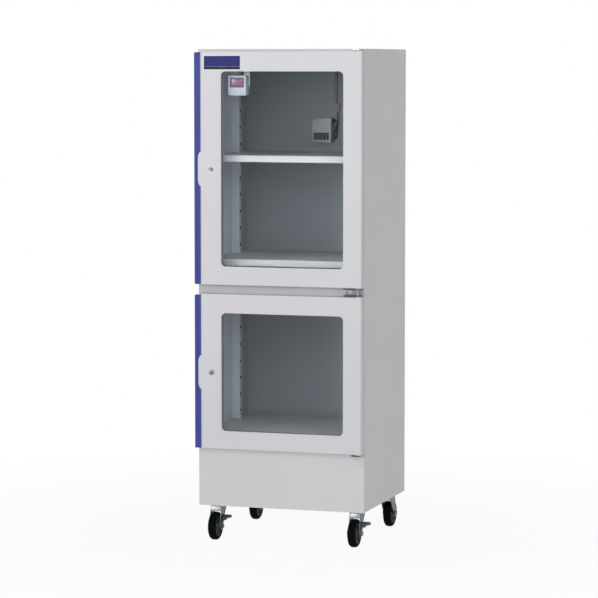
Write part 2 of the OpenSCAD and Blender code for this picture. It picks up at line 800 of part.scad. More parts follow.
// Louvred cover over the dry unit's exhaust
module rear_vent_cover() color(PAINT) difference() {
    front_plate(body_d, vent_proud) translate([-vent_size[0] / 2, vent_z - vent_size[1] / 2])
        soft_square(vent_size, [hygro_r, hygro_r, hygro_r, hygro_r]);
    front_plate(body_d - eps, vent_proud - 2) translate([-vent_size[0] / 2 + 3, vent_z - vent_size[1] / 2 + 3])
        square([vent_size[0] - 6, vent_size[1] - 6]);
    for (i = [0:vent_slots - 1])
        translate([-vent_size[0] / 2 + 12, body_d + vent_proud - 3,
                   vent_z - vent_size[1] / 2 + 13 + i * (vent_size[1] - 26) / (vent_slots - 1) - 2])
            cube([vent_size[0] - 24, 4, 4]);
}

// Cable gland through which a mains lead enters
module power_inlet_gland() color(BLACK) difference() {
    union() {
        translate([race_x, body_d, inlet_z]) rotate([-90, 0, 0]) cylinder(r = inlet_nut_r, h = 5, $fn = 6);
        rod_y(race_x, body_d, inlet_z, inlet_nut_r - 2.2, inlet_l - 3);
        translate([race_x, body_d + inlet_l - 3, inlet_z]) rotate([-90, 0, 0])
            cylinder(r1 = inlet_nut_r - 2.2, r2 = inlet_nut_r - 4.5, h = 3);
        rod_y(race_x, wall_y, inlet_z, gland_r, sheet + eps);
    }
    rod_y(race_x, wall_y - 1, inlet_z, inlet_bore_r, inlet_l + sheet + 2);
}

// ---- casters ----

// Puts its children at caster i, with the trail pointing along its local -Y
module at_caster(i) translate([CASTERS[i][0], CASTERS[i][1], 0])
    rotate([0, 0, CASTERS[i][2] > 0 ? 180 : 0]) children();

// Rod along X between two x values at the axle
module axle_rod(x0, x1, r) translate([x0, -trail, tyre_r]) rotate([0, 90, 0]) cylinder(r = r, h = x1 - x0);

// Mounting plate with the upper bearing race and the king pin
module caster_plate() {
    difference() {
        translate([-plate_size[0] / 2, -plate_size[1] / 2, caster_h - caster_plate_t])
            linear_extrude(caster_plate_t) soft_square(plate_size, [5, 5, 5, 5]);
        for (x = [-1, 1], y = [-1, 1])
            translate([x * plate_pitch[0] / 2, y * plate_pitch[1] / 2, caster_h - caster_plate_t - 1])
                cylinder(r = plate_hole_r, h = caster_plate_t + 2);
    }
    translate([0, 0, caster_h - caster_plate_t - race_h]) rotate_extrude() polygon([
        [0, 0], [race_r - 2, 0], [race_r, 2], [race_r, 4.5], [race_r - 4, race_h + eps], [0, race_h + eps]]);
    translate([0, 0, crown_z - crown_t - 1.5]) cylinder(r = king_r, h = crown_t + 3);
    translate([0, 0, crown_z - crown_t - 3]) cylinder(r = king_r + 2, h = 1.5 + 1);
}

module caster_plates() color(ZINC) for (i = [0:3]) at_caster(i) caster_plate();

// Side leg of a fork: wide under the crown, tapering to a round foot at the axle
module fork_leg() {
    top = crown_z - crown_t + eps;
    shoulder = crown_r * 0.92;
    hull() {
        translate([-trail, tyre_r]) circle(leg_foot_r, $fn = 32);
        translate([-shoulder, top - 6]) square([2 * shoulder, 6]);
    }
}

module fork(i) color(ZINC) at_caster(i) {
    braked = i < 2;
    difference() {
        union() {
            translate([0, 0, crown_z - crown_t]) cylinder(r = crown_r, h = crown_t);
            for (x = [-leg_x - leg_t, leg_x]) along_x(x, leg_t) fork_leg();
            intersection() {
                translate([-leg_x - eps, -crown_r, crown_z - crown_t]) cube([2 * (leg_x + eps), 2 * crown_r, crown_t]);
                translate([0, 0, crown_z - crown_t]) cylinder(r = crown_r + 3, h = crown_t);
            }
        }
        translate([0, 0, crown_z - crown_t - 1]) cylinder(r = king_r + run_fit, h = crown_t + 2);
    }
    axle_rod(-leg_x - leg_t - bolt_t, leg_x + leg_t + (braked ? sleeve_l : 0) + bolt_t, axle_r);
    translate([-leg_x - leg_t - bolt_t, -trail, tyre_r]) rotate([0, 90, 0]) cylinder(r = bolt_r, h = bolt_t, $fn = 6);
    if (braked) axle_rod(leg_x + leg_t - eps, leg_x + leg_t + sleeve_l, sleeve_r);
    translate([leg_x + leg_t + (braked ? sleeve_l : 0), -trail, tyre_r]) rotate([0, 90, 0])
        cylinder(r = bolt_r, h = bolt_t, $fn = 6);
}

// Hub turned about X: boss, dished web and rim
module hub(i) color(DARK) at_caster(i) translate([0, -trail, tyre_r]) rotate([0, 90, 0])
    rotate_extrude() polygon([
        [axle_r + run_fit, -tyre_w / 2], [11, -tyre_w / 2], [12, -5], [hub_r - 5, -3],
        [hub_r - 3, -tyre_w / 2 + 2], [hub_r, -tyre_w / 2 + 2], [hub_r, tyre_w / 2 - 2],
        [hub_r - 3, tyre_w / 2 - 2], [hub_r - 5, 3], [12, 5], [11, tyre_w / 2],
        [axle_r + run_fit, tyre_w / 2]]);

module tyre(i) color(BLACK) at_caster(i) translate([0, -trail, tyre_r]) rotate([0, 90, 0])
    rotate_extrude($fn = 72) translate([hub_r, -tyre_w / 2])
        soft_square([tyre_r - hub_r, tyre_w], [2, tyre_round, tyre_round, 2]);

// Brake lever on the axle's sleeve, its pedal turned out sideways
module brake(i) color(DARK) at_caster(i) {
    x0 = lever_x;
    reach = norm(pedal_at);
    tilt = atan2(pedal_at[1], pedal_at[0]);
    translate([0, -trail, tyre_r]) difference() {
        union() {
            along_x(x0, lever_t) {
                circle(sleeve_r + 4);
                rotate(tilt) translate([0, -5]) square([reach, 10]);
            }
            translate([x0, pedal_at[0], pedal_at[1]]) rotate([tilt - 20, 0, 0])
                translate([0, -pedal_w / 2, -pedal_t / 2]) linear_extrude(pedal_t)
                    soft_square([pedal_l, pedal_w], [0, 7, 7, 0]);
        }
        translate([x0 - 1, 0, 0]) rotate([0, 90, 0]) cylinder(r = sleeve_r + run_fit, h = lever_t + 2);
        translate([x0 + lever_t, 0, 0]) rotate([0, 90, 0]) cylinder(r = bolt_r + 1, h = pedal_l);
    }
}

module front_left_fork() fork(0);
module front_right_fork() fork(1);
module rear_left_fork() fork(2);
module rear_right_fork() fork(3);
module front_left_hub() hub(0);
module front_right_hub() hub(1);
module rear_left_hub() hub(2);
module rear_right_hub() hub(3);
module front_left_tyre() tyre(0);
module front_right_tyre() tyre(1);
module rear_left_tyre() tyre(2);
module rear_right_tyre() tyre(3);
module front_left_brake() brake(0);
module front_right_brake() brake(1);

// ---- assembly ----
place() left_side_panel();
place() right_side_panel();
place() top_panel();
place() back_panel();
place() base_pan();
place() front_skirt();
place() mid_rail();
place() chamber_floor();
place() shelf_posts();
place() upper_shelf();
place() middle_shelf();
place() lower_shelf();
place() shelf_clips();
place() top_hinge_bracket();
place() middle_hinge_bracket();
place() bottom_hinge_bracket();
place() hinge_pins();
place() hinge_screws();
place() hygrometer_case();
place() hygrometer_display();
place() hygrometer_hanger();
place() dry_unit_housing();
place() dry_unit_grille();
place() dry_unit_lead();
place() cable_raceway();
place() rear_vent_cover();
place() power_inlet_gland();
place() upper_door_panel();
place() upper_door_liner();
place() upper_door_glass();
place() upper_glazing_seal();
place() upper_door_gasket();
place() upper_door_handle();
place() upper_door_bushes();
place() upper_lock_body();
place() upper_lock_plug();
place() lower_door_panel();
place() lower_door_liner();
place() lower_door_glass();
place() lower_glazing_seal();
place() lower_door_gasket();
place() lower_door_handle();
place() lower_door_bushes();
place() lower_lock_body();
place() lower_lock_plug();
place() caster_plates();
place() front_left_fork();
place() front_right_fork();
place() rear_left_fork();
place() rear_right_fork();
place() front_left_hub();
place() front_right_hub();
place() rear_left_hub();
place() rear_right_hub();
place() front_left_tyre();
place() front_right_tyre();
place() rear_left_tyre();
place() rear_right_tyre();
place() front_left_brake();
place() front_right_brake();
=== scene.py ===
"""Desiccator cabinet on casters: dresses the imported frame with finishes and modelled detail."""

import logging
import math
from dataclasses import dataclass
from enum import Enum
from typing import Callable, Protocol, Sequence

import bmesh
import bpy
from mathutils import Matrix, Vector


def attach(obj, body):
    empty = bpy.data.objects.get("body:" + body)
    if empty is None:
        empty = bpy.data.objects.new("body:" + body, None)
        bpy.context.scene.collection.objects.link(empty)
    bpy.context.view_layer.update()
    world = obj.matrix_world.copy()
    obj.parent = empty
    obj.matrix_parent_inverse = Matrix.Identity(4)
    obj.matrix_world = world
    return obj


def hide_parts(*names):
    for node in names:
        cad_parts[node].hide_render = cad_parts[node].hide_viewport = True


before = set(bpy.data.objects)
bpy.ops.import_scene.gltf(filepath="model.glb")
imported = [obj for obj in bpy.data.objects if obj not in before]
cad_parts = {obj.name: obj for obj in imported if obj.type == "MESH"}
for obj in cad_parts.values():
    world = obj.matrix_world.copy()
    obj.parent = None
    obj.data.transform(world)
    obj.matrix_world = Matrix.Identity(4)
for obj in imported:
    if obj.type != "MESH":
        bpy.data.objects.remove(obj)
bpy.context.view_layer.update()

MM = 0.001
DOUBLES_M = 1e-6
# The drawing's x runs across, its y from the body's front face to the back wall, and its z up
# from the floor. The row starts at the middle of the part.
DRAWING_TO_ROW = Vector((0.3, -210.25, 0.0))

log = logging.getLogger("cabinet")
Point = Sequence[float]
Pair = tuple[float, float]
Test = Callable[[Vector, Vector], bool]
Tree = bpy.types.NodeTree
Link = tuple[bpy.types.Node, int | str]
Patch = tuple[Point, Point, str]
# Where nearly all the values of a noise lie.
NOISE_SPAN: Pair = (0.3, 0.7)


def place(point: Point) -> Vector:
    """Turns a point of the cabinet's drawing, in millimetres, into metres of the shared row."""
    return (Vector(point) + DRAWING_TO_ROW) * MM


def drawn(co: Vector) -> Vector:
    """Turns a point in metres of the shared row back into millimetres of the drawing."""
    return co / MM - DRAWING_TO_ROW


# ---- bench: meshes shaped with Blender's modelling operators ----


class Pick(Enum):
    """What an operator on the bench acts on."""

    EDGE = "EDGE"
    FACE = "FACE"


class Axis(Enum):
    """The three directions of the drawing."""

    X = (1.0, 0.0, 0.0)
    Y = (0.0, 1.0, 0.0)
    Z = (0.0, 0.0, 1.0)


def along(axis: Axis, where: Callable[[Vector], bool] = lambda c: True) -> Test:
    """Returns a test for the edges along an axis whose middle passes another test."""
    return lambda c, d: abs(d.dot(Vector(axis.value))) > 0.9 and where(c)


def clear_bench() -> None:
    """Leaves edit mode and deselects everything."""
    if bpy.context.mode != "OBJECT":
        bpy.ops.object.mode_set(mode="OBJECT")
    bpy.ops.object.select_all(action="DESELECT")


class Piece:
    """One mesh on the bench. Its methods take millimetres of the drawing."""

    def __init__(self, name: str, obj: bpy.types.Object) -> None:
        """Names the object and its mesh, and puts its place into the mesh.

        Args:
            name: the piece's name in the shared row.
            obj: the object that was just added.
        """
        self.obj = obj
        obj.name = name
        obj.data.name = name
        self.grab()
        bpy.ops.object.transform_apply(location=True, rotation=True, scale=True)

    @classmethod
    def block(cls, name: str, low: Point, high: Point) -> "Piece":
        """Adds a block between two corners.

        Args:
            name: the piece's name.
            low: its lowest corner.
            high: its highest corner.

        Returns:
            The new piece.
        """
        clear_bench()
        middle = [(a + b) / 2 for a, b in zip(low, high)]
        bpy.ops.mesh.primitive_cube_add(size=MM, location=place(middle))
        obj = bpy.context.active_object
        obj.scale = [b - a for a, b in zip(low, high)]
        return cls(name, obj)

    @classmethod
    def rod(cls, name: str, radius: float, start: Point, end: Point, sides: int = 32) -> "Piece":
        """Adds a round bar.

        Args:
            name: the piece's name.
            radius: its radius.
            start: the middle of its first end.
            end: the middle of its other end.
            sides: how many facets go round it.

        Returns:
            The new piece.
        """
        clear_bench()
        way = Vector(end) - Vector(start)
        bpy.ops.mesh.primitive_cylinder_add(
            vertices=sides,
            radius=radius * MM,
            depth=way.length * MM,
            location=place((Vector(start) + Vector(end)) / 2),
            rotation=way.to_track_quat("Z", "Y").to_euler(),
        )
        return cls(name, bpy.context.active_object)

    @classmethod
    def outline(cls, name: str, points: Sequence[Point], filled: bool = True) -> "Piece":
        """Draws an outline point by point by extruding one vertex, and leaves it selected.

        Args:
            name: the piece's name.
            points: the outline's corners in order.
            filled: whether the outline is closed with one face.

        Returns:
            The new piece, in edit mode.
        """
        clear_bench()
        bpy.ops.mesh.primitive_plane_add(size=MM, location=place(points[0]))
        piece = cls(name, bpy.context.active_object).edit()
        bpy.ops.mesh.select_mode(type="VERT")
        bpy.ops.mesh.select_all(action="SELECT")
        bpy.ops.mesh.merge(type="CENTER")
        for a, b in zip(points, points[1:]):
            step = (Vector(b) - Vector(a)) * MM
            bpy.ops.mesh.extrude_region_move(TRANSFORM_OT_translate={"value": step})
        bpy.ops.mesh.select_all(action="SELECT")
        if filled:
            bpy.ops.mesh.edge_face_add()
        return piece

    @classmethod
    def prism(cls, name: str, points: Sequence[Point], step: Point, corner: float = 0.0) -> "Piece":
        """Extrudes a filled outline.

        Args:
            name: the piece's name.
            points: the outline's corners in order.
            step: how far it is extruded.
            corner: the radius of the outline's corners.

        Returns:
            The new piece.
        """
        piece = cls.outline(name, points)
        if corner:
            piece.bevel(corner, 3, corners=True)
            bpy.ops.mesh.select_all(action="SELECT")
        return piece.extrude(step).tidy().done()

    @classmethod
    def lathe(
        cls, name: str, section: Sequence[Point], centre: Point, axis: Axis, steps: int
    ) -> "Piece":
        """Spins a closed section once round an axis.

        Args:
            name: the piece's name.
            section: the section's corners in order.
            centre: a point of the axis.
            axis: its direction.
            steps: how many facets go round.

        Returns:
            The new piece.
        """
        piece = cls.outline(name, section, filled=False)
        bpy.ops.mesh.spin(steps=steps, angle=math.tau, center=place(centre), axis=axis.value)
        return piece.tidy().done()

    def grab(self) -> None:
        """Makes this the one selected and active object."""
        clear_bench()
        self.obj.select_set(True)
        bpy.context.view_layer.objects.active = self.obj

    def edit(self) -> "Piece":
        """Opens this mesh in edit mode.

        Returns:
            This piece, as the methods below do.
        """
        self.grab()
        bpy.ops.object.mode_set(mode="EDIT")
        return self

    def done(self) -> "Piece":
        """Closes edit mode."""
        bpy.ops.object.mode_set(mode="OBJECT")
        return self

    def pick(self, what: Pick, test: Test) -> "Piece":
        """Selects faces or edges by place and direction.

        Args:
            what: the kind of element.
            test: is given an element's middle in millimetres, and a face's normal or an edge's
                own direction.

        Returns:
            This piece.
        """
        bpy.ops.mesh.select_mode(type=what.value)
        bpy.ops.mesh.select_all(action="DESELECT")
        mesh = bmesh.from_edit_mesh(self.obj.data)
        if what is Pick.FACE:
            rows = [(f, f.calc_center_median(), f.normal) for f in mesh.faces]
        else:
            ends = [(e, e.verts[0].co, e.verts[1].co) for e in mesh.edges]
            rows = [(e, (a + b) / 2, (b - a).normalized()) for e, a, b in ends]
        for item, middle, way in rows:
            if test(drawn(middle), way):
                item.select_set(True)
        mesh.select_flush_mode()
        bmesh.update_edit_mesh(self.obj.data)
        return self

    def extrude(self, step: Point) -> "Piece":
        """Extrudes what is selected by a step."""
        bpy.ops.mesh.extrude_region_move(TRANSFORM_OT_translate={"value": Vector(step) * MM})
        return self

    def inset(self, thickness: float, depth: float = 0.0) -> "Piece":
        """Insets the selected faces, and sinks them if depth is negative."""
        bpy.ops.mesh.inset(thickness=thickness * MM, depth=depth * MM)
        return self

    def bevel(self, width: float, segments: int = 3, corners: bool = False) -> "Piece":
        """Rounds the selected edges, or the selected corners of a flat outline.

        Args:
            width: how far from the edge the rounding starts.
            segments: how many facets it gets.
            corners: whether it works on corners.

        Returns:
            This piece.
        """
        affect = "VERTICES" if corners else "EDGES"
        bpy.ops.mesh.bevel(offset=width * MM, segments=segments, affect=affect)
        return self

    def round_off(self, test: Test, width: float, segments: int) -> "Piece":
        """Opens the mesh, rounds the edges that a test picks, and closes it."""
        return self.edit().pick(Pick.EDGE, test).bevel(width, segments).done()

    def slice(self, point: Point, normal: Point, cut: bool = False) -> "Piece":
        """Cuts a line round the whole mesh, or cuts off a part of it.

        Args:
            point: a point of the cutting plane.
            normal: the plane's normal.
            cut: whether the side that the normal points to is cut off and the cut closed.

        Returns:
            This piece.
        """
        bpy.ops.mesh.select_all(action="SELECT")
        bpy.ops.mesh.bisect(plane_co=place(point), plane_no=normal, clear_outer=cut, use_fill=cut)
        return self

    def sink_window(self, low: Pair, high: Pair, deep: float) -> "Piece":
        """Sinks a rectangular window into the front.

        Args:
            low: x and z of its lowest corner.
            high: x and z of its highest corner.
            deep: how far it is sunk.

        Returns:
            This piece.
        """
        (x0, z0), (x1, z1) = low, high
        for x in (x0, x1):
            self.slice((x, 0, 0), Axis.X.value)
        for z in (z0, z1):
            self.slice((0, 0, z), Axis.Z.value)
        inside: Test = lambda c, n: n.y < -0.9 and x0 < c.x < x1 and z0 < c.z < z1
        return self.pick(Pick.FACE, inside).extrude((0, deep, 0))

    def part_line(self, near: float, far: float, deep: float) -> "Piece":
        """Sinks the line where the mould's halves met, all round between two depths.

        Args:
            near: y of the line's front.
            far: y of its back.
            deep: how far it is sunk.

        Returns:
            This piece.
        """
        for y in (near, far):
            self.slice((0, y, 0), Axis.Y.value)
        self.pick(Pick.FACE, lambda c, n: near < c.y < far and abs(n.y) < 0.5)
        bpy.ops.transform.shrink_fatten(value=-deep * MM)
        return self

    def tidy(self) -> "Piece":
        """Merges doubles and points every face outwards.

        Returns:
            This piece.
        """
        bpy.ops.mesh.select_all(action="SELECT")
        bpy.ops.mesh.remove_doubles(threshold=DOUBLES_M)
        bpy.ops.mesh.normals_make_consistent(inside=False)
        return self

    def modify(self, kind: str, **settings: object) -> "Piece":
        """Adds one modifier and applies it.

        Args:
            kind: the modifier's type.
            settings: its properties.

        Returns:
            This piece.
        """
        self.grab()
        modifier = self.obj.modifiers.new(kind.title(), kind)
        for key, value in settings.items():
            setattr(modifier, key, value)
        bpy.ops.object.modifier_apply(modifier=modifier.name)
        return self

    def ease(self, width: float, segments: int = 2, angle: float = 40.0) -> "Piece":
        """Rounds every edge sharper than an angle in degrees, as a mould or a tumbler does."""
        sharp = {"limit_method": "ANGLE", "angle_limit": math.radians(angle)}
        return self.modify("BEVEL", width=width * MM, segments=segments, **sharp)

    def copy(self, name: str, step: Point = (0, 0, 0)) -> "Piece":
        """Copies the piece, with a mesh of its own.

        Args:
            name: the copy's name.
            step: how far from the piece it stands.

        Returns:
            The copy.
        """
        self.grab()
        bpy.ops.object.duplicate(linked=False)
        twin = bpy.context.active_object
        twin.location = Vector(step) * MM
        return Piece(name, twin)

    def turn(self, degrees: float, axis: Axis, centre: Point) -> "Piece":
        """Turns the whole mesh.

        Args:
            degrees: how far, as the right hand's fingers curl round the axis.
            axis: the direction that it turns about.
            centre: a point of the axis.

        Returns:
            This piece.
        """
        self.edit()
        bpy.ops.mesh.select_all(action="SELECT")
        about = {"orient_axis": axis.name, "center_override": place(centre)}
        bpy.ops.transform.rotate(value=-math.radians(degrees), **about)
        return self.done()

    def flip(self) -> "Piece":
        """Mirrors the whole mesh from right to left across the drawing's zero.

        Returns:
            This piece.
        """
        self.edit()
        bpy.ops.mesh.select_all(action="SELECT")
        across = {"orient_type": "GLOBAL", "constraint_axis": (True, False, False)}
        bpy.ops.transform.mirror(center_override=place((0, 0, 0)), **across)
        return self.tidy().done()

    def weld(self, others: Sequence["Piece"]) -> "Piece":
        """Joins other pieces into this one.

        Args:
            others: the pieces, which end as part of this one.

        Returns:
            This piece.
        """
        self.grab()
        for other in others:
            other.obj.select_set(True)
        bpy.ops.object.join()
        return self

    def combine(self, tool: "Piece", how: str) -> "Piece":
        """Adds or cuts another piece's shape, and scraps that piece.

        Args:
            tool: the other piece.
            how: the boolean modifier's operation.

        Returns:
            This piece.
        """
        self.modify("BOOLEAN", operation=how, object=tool.obj, solver="EXACT")
        scrap(tool)
        return self

    def carve(self, tool: "Piece") -> "Piece":
        """Cuts another piece's shape out of this one, and scraps that piece."""
        return self.combine(tool, "DIFFERENCE")

    def punch(self, tool: "Piece", steps: Sequence[Point]) -> "Piece":
        """Carves with a copy of a tool at each step, and scraps the tool.

        Args:
            tool: the other piece.
            steps: how far from the tool each copy stands.

        Returns:
            This piece.
        """
        for step in steps:
            self.carve(tool.copy(tool.obj.name, step))
        scrap(tool)
        return self

    def settle(
        self,
        finish: "Finish",
        body: str,
        slot: str,
        replaces: Sequence[str] = (),
        smooth: float = 35.0,
    ) -> None:
        """Gives the piece its finish, and hands it to the frame.

        Args:
            finish: what the piece is made of.
            body: the CAD body that it rides on.
            slot: the record's material slot; not used.
            replaces: CAD nodes that it stands for.
            smooth: the angle in degrees up to which its faces are shaded as one.
        """
        self.grab()
        bpy.ops.object.shade_smooth_by_angle(angle=math.radians(smooth))
        self.obj.data.materials.clear()
        self.obj.data.materials.append(finish.material())
        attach(self.obj, body)
        if replaces:
            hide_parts(*replaces)
        faces = len(self.obj.data.polygons)
        log.info("%s on %s: %d faces, %s", self.obj.name, body, faces, finish.name)


def scrap(*pieces: Piece) -> None:
    """Removes pieces from the bench."""
    for piece in pieces:
        bpy.data.objects.remove(piece.obj)


def joined(name: str, parts: Sequence[Piece]) -> Piece:
    """Names the first of some pieces, and returns it with the others joined into it."""
    parts[0].obj.name = name
    return parts[0].weld(parts[1:])


# ---- finishes ----


def linear(code: str) -> tuple[float, float, float, float]:
    """Turns an sRGB hex colour into linear light.

    Args:
        code: the colour as #RRGGBB.

    Returns:
        Red, green, blue and full opacity.
    """
    parts = [int(code[i : i + 2], 16) / 255 for i in (1, 3, 5)]
    light = [p / 12.92 if p <= 0.04045 else ((p + 0.055) / 1.055) ** 2.4 for p in parts]
    return (light[0], light[1], light[2], 1.0)


def add(
    tree: Tree,
    kind: str,
    settings: dict[str, object] | None = None,
    inputs: dict[int | str, object] | None = None,
) -> bpy.types.Node:
    """Adds one node with its settings, values and links.

    Args:
        tree: the node tree.
        kind: the node's type without its ShaderNode prefix.
        settings: its properties.
        inputs: each socket's value, or the (node, output) that feeds it.

    Returns:
        The new node.
    """
    node = tree.nodes.new("ShaderNode" + kind)
    for key, value in (settings or {}).items():
        setattr(node, key, value)
    for key, value in (inputs or {}).items():
        socket = node.inputs[key]
        if isinstance(value, tuple) and isinstance(value[0], bpy.types.Node):
            tree.links.new(value[0].outputs[value[1]], socket)
        else:
            socket.default_value = value
    return node


def empty_tree(owner: bpy.types.Material | bpy.types.World) -> Tree:
    """Clears a node tree.

    Args:
        owner: the material or world that has it.

    Returns:
        The empty tree.
    """
    owner.use_nodes = True
    owner.node_tree.nodes.clear()
    return owner.node_tree


def maths(tree: Tree, operation: str, first: Link, second: Link | float) -> Link:
    """Adds one Math node on two values, and returns its outcome."""
    return (add(tree, "Math", {"operation": operation}, {0: first, 1: second}), 0)


def noise(tree: Tree, where: Link, size_mm: float, detail: float) -> Link:
    """Adds noise whose spots are some millimetres across, and returns it."""
    scale = 1.0 / MM / size_mm
    return (add(tree, "TexNoise", None, {"Vector": where, "Scale": scale, "Detail": detail}), 0)


def ranged(tree: Tree, factor: Link, low: float, high: float, span: Pair = NOISE_SPAN) -> Link:
    """Maps a span, if not told otherwise that of a noise, onto two values, and returns it."""
    limits = {"From Min": span[0], "From Max": span[1], "To Min": low, "To Max": high}
    return (add(tree, "MapRange", None, {"Value": factor, **limits}), "Result")


def blended(tree: Tree, factor: Link, first: object, second: object) -> Link:
    """Mixes from a first colour at 0 to a second at 1, and returns the mixed colour."""
    return (add(tree, "Mix", {"data_type": "RGBA"}, {0: factor, 6: first, 7: second}), 2)


def parted(tree: Tree, where: Link, colour: Link, light_and_shade_patches: Sequence[Patch]) -> Link:
    """Gives the faces that lie within some boxes another colour, as painted light and shade.

    Args:
        tree: the node tree.
        where: object coordinates in metres.
        colour: the colour elsewhere.
        light_and_shade_patches: each box's lowest and highest corner in the drawing's millimetres,
            and its colour.

    Returns:
        The colour that changes over at the boxes' sides.
    """
    apart = add(tree, "SeparateXYZ", None, {0: where})
    for low, high, tint in light_and_shade_patches:
        within: Link | float = 1.0
        for axis, limits in enumerate(zip(place(low), place(high))):
            for limit, kind in zip(limits, ("GREATER_THAN", "LESS_THAN")):
                within = maths(tree, "MULTIPLY", maths(tree, kind, (apart, axis), limit), within)
        colour = blended(tree, within, colour, linear(tint))
    return colour


@dataclass(frozen=True)
class Finish:
    """A material of the cabinet, made once and shared by the pieces that have it."""

    name: str

    def material(self) -> bpy.types.Material:
        """Returns the finished material, and makes it the first time.

        Returns:
            The material.
        """
        made = bpy.data.materials.get(self.name)
        if not made:
            made = bpy.data.materials.new(self.name)
            tree = empty_tree(made)
            last = self.dress(tree, (add(tree, "TexCoord"), "Object"))
            add(tree, "OutputMaterial", None, {"Surface": (last, 0)})
        return made

    def dress(self, tree: Tree, where: Link) -> bpy.types.Node:
        """Adds the finish's own nodes.

        Args:
            tree: the material's node tree.
            where: object coordinates in metres.

        Returns:
            The node that feeds the material's output.
        """
        raise NotImplementedError


@dataclass(frozen=True)
class Coat(Finish):
    """An opaque finish of two close shades with uneven gloss and a fine skin."""

    light: str
    dark: str
    roughness: float
    skin_mm: float
    skin: float

    def shades(self, tree: Tree, where: Link, size_mm: float, detail: float) -> Link:
        """Mixes the two shades by a noise of some spot size and detail, and returns the colour."""
        share = ranged(tree, noise(tree, where, size_mm, detail), 0.0, 1.0)
        return blended(tree, share, linear(self.dark), linear(self.light))

    def surface(
        self, tree: Tree, colour: Link, gloss: Link, spread: Pair, skin: Link, rise: float
    ) -> bpy.types.Node:
        """Adds the shader with its colour, gloss and skin.

        Args:
            tree: the material's node tree.
            colour: its colour.
            gloss: what varies the roughness.
            spread: how far that goes below and above the roughness.
            skin: the skin's height.
            rise: how far the skin stands out, in millimetres.

        Returns:
            The principled shader.
        """
        low, high = self.roughness - spread[0], self.roughness + spread[1]
        bump = {"Height": skin, "Strength": self.skin, "Distance": rise * MM}
        normal = (add(tree, "Bump", None, bump), 0)
        rough = ranged(tree, gloss, low, high)
        inputs = {"Base Color": colour, "Roughness": rough, "Normal": normal}
        return add(tree, "BsdfPrincipled", None, inputs)


@dataclass(frozen=True)
class PowderCoat(Coat):
    """Polyester powder coat on sheet steel, sprayed and baked.

    The powder flows out to an even satin colour with a faint orange-peel skin. The peel of 1.5 mm
    is drawn at 3 mm so that it still shows from where the whole cabinet is seen.
    """

    roughness: float = 0.42
    skin_mm: float = 3.0
    skin: float = 0.05
    # Boxes of painted light and shade laid over the coat's colour.
    light_and_shade_patches: tuple[Patch, ...] = ()

    def dress(self, tree: Tree, where: Link) -> bpy.types.Node:
        """Adds tone drift, uneven gloss, orange peel and any boxes of painted light and shade. Args
        and Returns as in Finish.
        """
        cloud, peel = noise(tree, where, 60.0, 3.0), noise(tree, where, self.skin_mm, 1.0)
        colour = self.shades(tree, where, 320.0, 2.0)
        if self.light_and_shade_patches:
            colour = parted(tree, where, colour, self.light_and_shade_patches)
        shader = self.surface(tree, colour, cloud, (0.04, 0.04), peel, 0.4)
        shader.inputs["IOR"].default_value = 1.5
        return shader


@dataclass(frozen=True)
class PlatedSteel(Coat):
    """Pressed steel with a bright zinc or chromium plate.

    Zinc keeps the pressed sheet's fine scratches under a cloudy, slightly blue passivation, and
    chromium over polished brass is mirror-like with faint turning marks.
    """

    light: str = "#D2D4D6"
    dark: str = "#B4B8BC"
    roughness: float = 0.32
    skin_mm: float = 14.0
    skin: float = 0.06

    def dress(self, tree: Tree, where: Link) -> bpy.types.Node:
        """Adds clouding and fine scratches. Args and Returns as in Finish."""
        drawn_out = add(tree, "Mapping", None, {"Vector": where, "Scale": (1.0, 1.0, 0.12)})
        marks = noise(tree, (drawn_out, 0), 1.2, 3.0)
        colour = self.shades(tree, where, self.skin_mm, 4.0)
        shader = self.surface(tree, colour, marks, (0.05, 0.06), marks, 0.2)
        shader.inputs["Metallic"].default_value = 1.0
        return shader


@dataclass(frozen=True)
class Moulded(Coat):
    """Injection-moulded plastic or pressed rubber.

    The tool's spark-eroded skin gives a fine even grain that scatters the highlights. Its grit of
    0.3 mm is drawn at about 1 mm, the least that a render of the whole cabinet resolves.
    """

    roughness: float = 0.5
    skin_mm: float = 1.0
    skin: float = 0.12
    ior: float = 1.46
    glow: float = 0.0

    def dress(self, tree: Tree, where: Link) -> bpy.types.Node:
        """Adds tone drift and mould grain. Args and Returns as in Finish."""
        grit = noise(tree, where, self.skin_mm, 2.0)
        colour = self.shades(tree, where, 25.0, 3.0)
        shader = self.surface(tree, colour, grit, (0.05, 0.05), grit, 0.2)
        shader.inputs["IOR"].default_value = self.ior
        if self.glow:
            shader.inputs["Emission Color"].default_value = linear(self.light)
            shader.inputs["Emission Strength"].default_value = self.glow
        return shader


@dataclass(frozen=True)
class FloatGlass(Finish):
    """Clear 3 mm float glass.

    Float glass is flat and colourless face on, with a grey-green depth at its edges. Lamps shine
    through it, and it mirrors the pale studio only faintly.
    """

    tint: str = "#EFF0F3"
    shade: str = "#CED1D4"
    ior: float = 1.16

    def dress(self, tree: Tree, where: Link) -> bpy.types.Node:
        """Adds the glass body and its clear shadow. Args and Returns as in Finish."""
        gloss = ranged(tree, noise(tree, where, 90.0, 2.0), 0.0, 0.02)
        inputs = {"Base Color": linear(self.tint), "Transmission Weight": 1.0, "IOR": self.ior}
        shader = add(tree, "BsdfPrincipled", None, {"Roughness": gloss, **inputs})
        clear = add(tree, "BsdfTransparent", None, {"Color": linear(self.shade)})
        shadow = (add(tree, "LightPath"), "Is Shadow Ray")
        return add(tree, "MixShader", None, {0: shadow, 1: (shader, 0), 2: (clear, 0)})


# Painted shade on the body's enamel inside the chamber and in the band between the doors.
CHAMBER_AND_BAND_SHADE: tuple[Patch, ...] = (
    ((-249.4, 1.5, 290.0), (249.4, 434.4, 1429.4), "#A4AAAD"),
    ((-251.0, -1.0, 725.0), (251.0, 0.6, 755.0), "#BEBFC3"),
)
